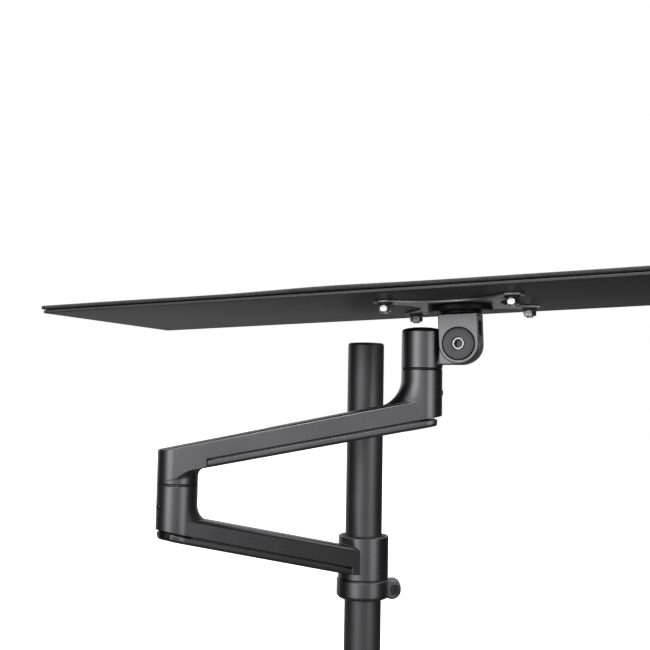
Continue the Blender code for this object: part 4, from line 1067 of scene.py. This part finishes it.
def make_world():
    """White to the camera. Pieces reflect the surround's soft boxes and flags, and the box overhead."""
    world = bpy.data.worlds.new("studio")
    bpy.context.scene.world = world
    world.use_nodes = True
    tree = world.node_tree
    white = tree.nodes["Background"]
    white.inputs["Color"].default_value = (1, 1, 1, 1)
    place = tree.nodes.new("ShaderNodeTexCoord")
    split = tree.nodes.new("ShaderNodeSeparateXYZ")
    tree.links.new(place.outputs["Generated"], split.inputs["Vector"])
    bearing = calculated(tree, "ARCTAN2", split.outputs["Y"], split.outputs["X"])
    share = mapped(tree, bearing, -math.pi, math.pi)
    around = grey_ramp(tree, share, [((b + 180) / 360, v / 2) for b, v in SURROUND])
    rise = mapped(tree, split.outputs["Z"], -1, 1)
    sides = calculated(tree, "MULTIPLY", around, grey_ramp(tree, rise, FLANK))
    total = calculated(tree, "ADD", sides, grey_ramp(tree, rise, OVERHEAD))
    studio = tree.nodes.new("ShaderNodeBackground")
    studio.inputs["Strength"].default_value = 2.0
    tree.links.new(total, studio.inputs["Color"])
    ray = tree.nodes.new("ShaderNodeLightPath")
    mix = tree.nodes.new("ShaderNodeMixShader")
    tree.links.new(ray.outputs["Is Camera Ray"], mix.inputs["Fac"])
    tree.links.new(studio.outputs["Background"], mix.inputs[1])
    tree.links.new(white.outputs["Background"], mix.inputs[2])
    tree.links.new(mix.outputs["Shader"], tree.nodes["World Output"].inputs["Surface"])


def grey_ramp(tree, value, stops):
    ramp = tree.nodes.new("ShaderNodeValToRGB")
    elements = ramp.color_ramp.elements
    while len(elements) < len(stops):
        elements.new(0.5)
    for element, (position, _) in zip(elements, stops):
        element.position = position
    for element, (_, level) in zip(elements, stops):
        element.color = (level, level, level, 1)
    tree.links.new(value, ramp.inputs["Fac"])
    return ramp.outputs["Color"]


def make_light(name, location, target, size, power):
    light = bpy.data.objects.new(name, bpy.data.lights.new(name, "AREA"))
    light.data.shape = "RECTANGLE"
    light.data.size, light.data.size_y = size
    light.data.energy = power
    light.location = location
    light.rotation_euler = (Vector(target) - Vector(location)).to_track_quat("-Z", "Y").to_euler()
    bpy.context.scene.collection.objects.link(light)


def make_floor():
    """A pale floor that fades into the white, clear of the lowest place that the clamp's foot screws to."""
    low = cad_bounds[0].z + joints["clamp_foot_slide"]["range_m"][0] - 0.0005
    half = 12.0
    corners = [(-half, -half, low), (half, -half, low), (half, half, low), (-half, half, low)]
    mesh = bpy.data.meshes.new("floor")
    mesh.from_pydata(corners, [], [(0, 1, 2, 3)])
    floor = bpy.data.objects.new("studio_floor", mesh)
    material, tree, shader = new_material("pale_floor", 0.0, 0.85, 0.2)
    grey = tint(tree, noise(tree, 6.0), (0.86, 0.86, 0.86), (0.90, 0.90, 0.90))
    tree.links.new(grey, shader.inputs["Base Color"])
    place = tree.nodes.new("ShaderNodeTexCoord")
    distance = tree.nodes.new("ShaderNodeVectorMath")
    distance.operation = "LENGTH"
    tree.links.new(place.outputs["Object"], distance.inputs[0])
    glow = mapped(tree, distance.outputs["Value"], 0.4, 1.0, 0.25, 1.0)
    shader.inputs["Emission Color"].default_value = (1, 1, 1, 1)
    tree.links.new(glow, shader.inputs["Emission Strength"])
    mesh.materials.append(material)
    bpy.context.scene.collection.objects.link(floor)
    floor.visible_glossy = False
    floor.visible_diffuse = False


def dress_inner_nodes():
    """The turned pieces inside the joints keep their CAD shapes and take their slots' materials."""
    slots = {part["node"]: part["material_slot"] for part in frame["record"]["subparts"]}
    for name, node in frame["nodes"].items():
        if not node.hide_render:
            node.data.materials.clear()
            node.data.materials.append(LOOKS[slots[name]])


make_camera()
make_world()
make_light("key_softbox", (0.3, -1.2, 1.6), (0.0, -0.1, 0.3), (0.8, 0.8), 8)
make_floor()
make_pole()
make_socket()
make_clamp()
make_clamp_screw()
make_collar()
make_lower_arm()
make_upper_arm()
make_swivel_head()
make_tilt_bracket()
make_vesa_plate()
make_tray()
dress_inner_nodes()
bpy.context.scene.view_settings.view_transform = "Standard"
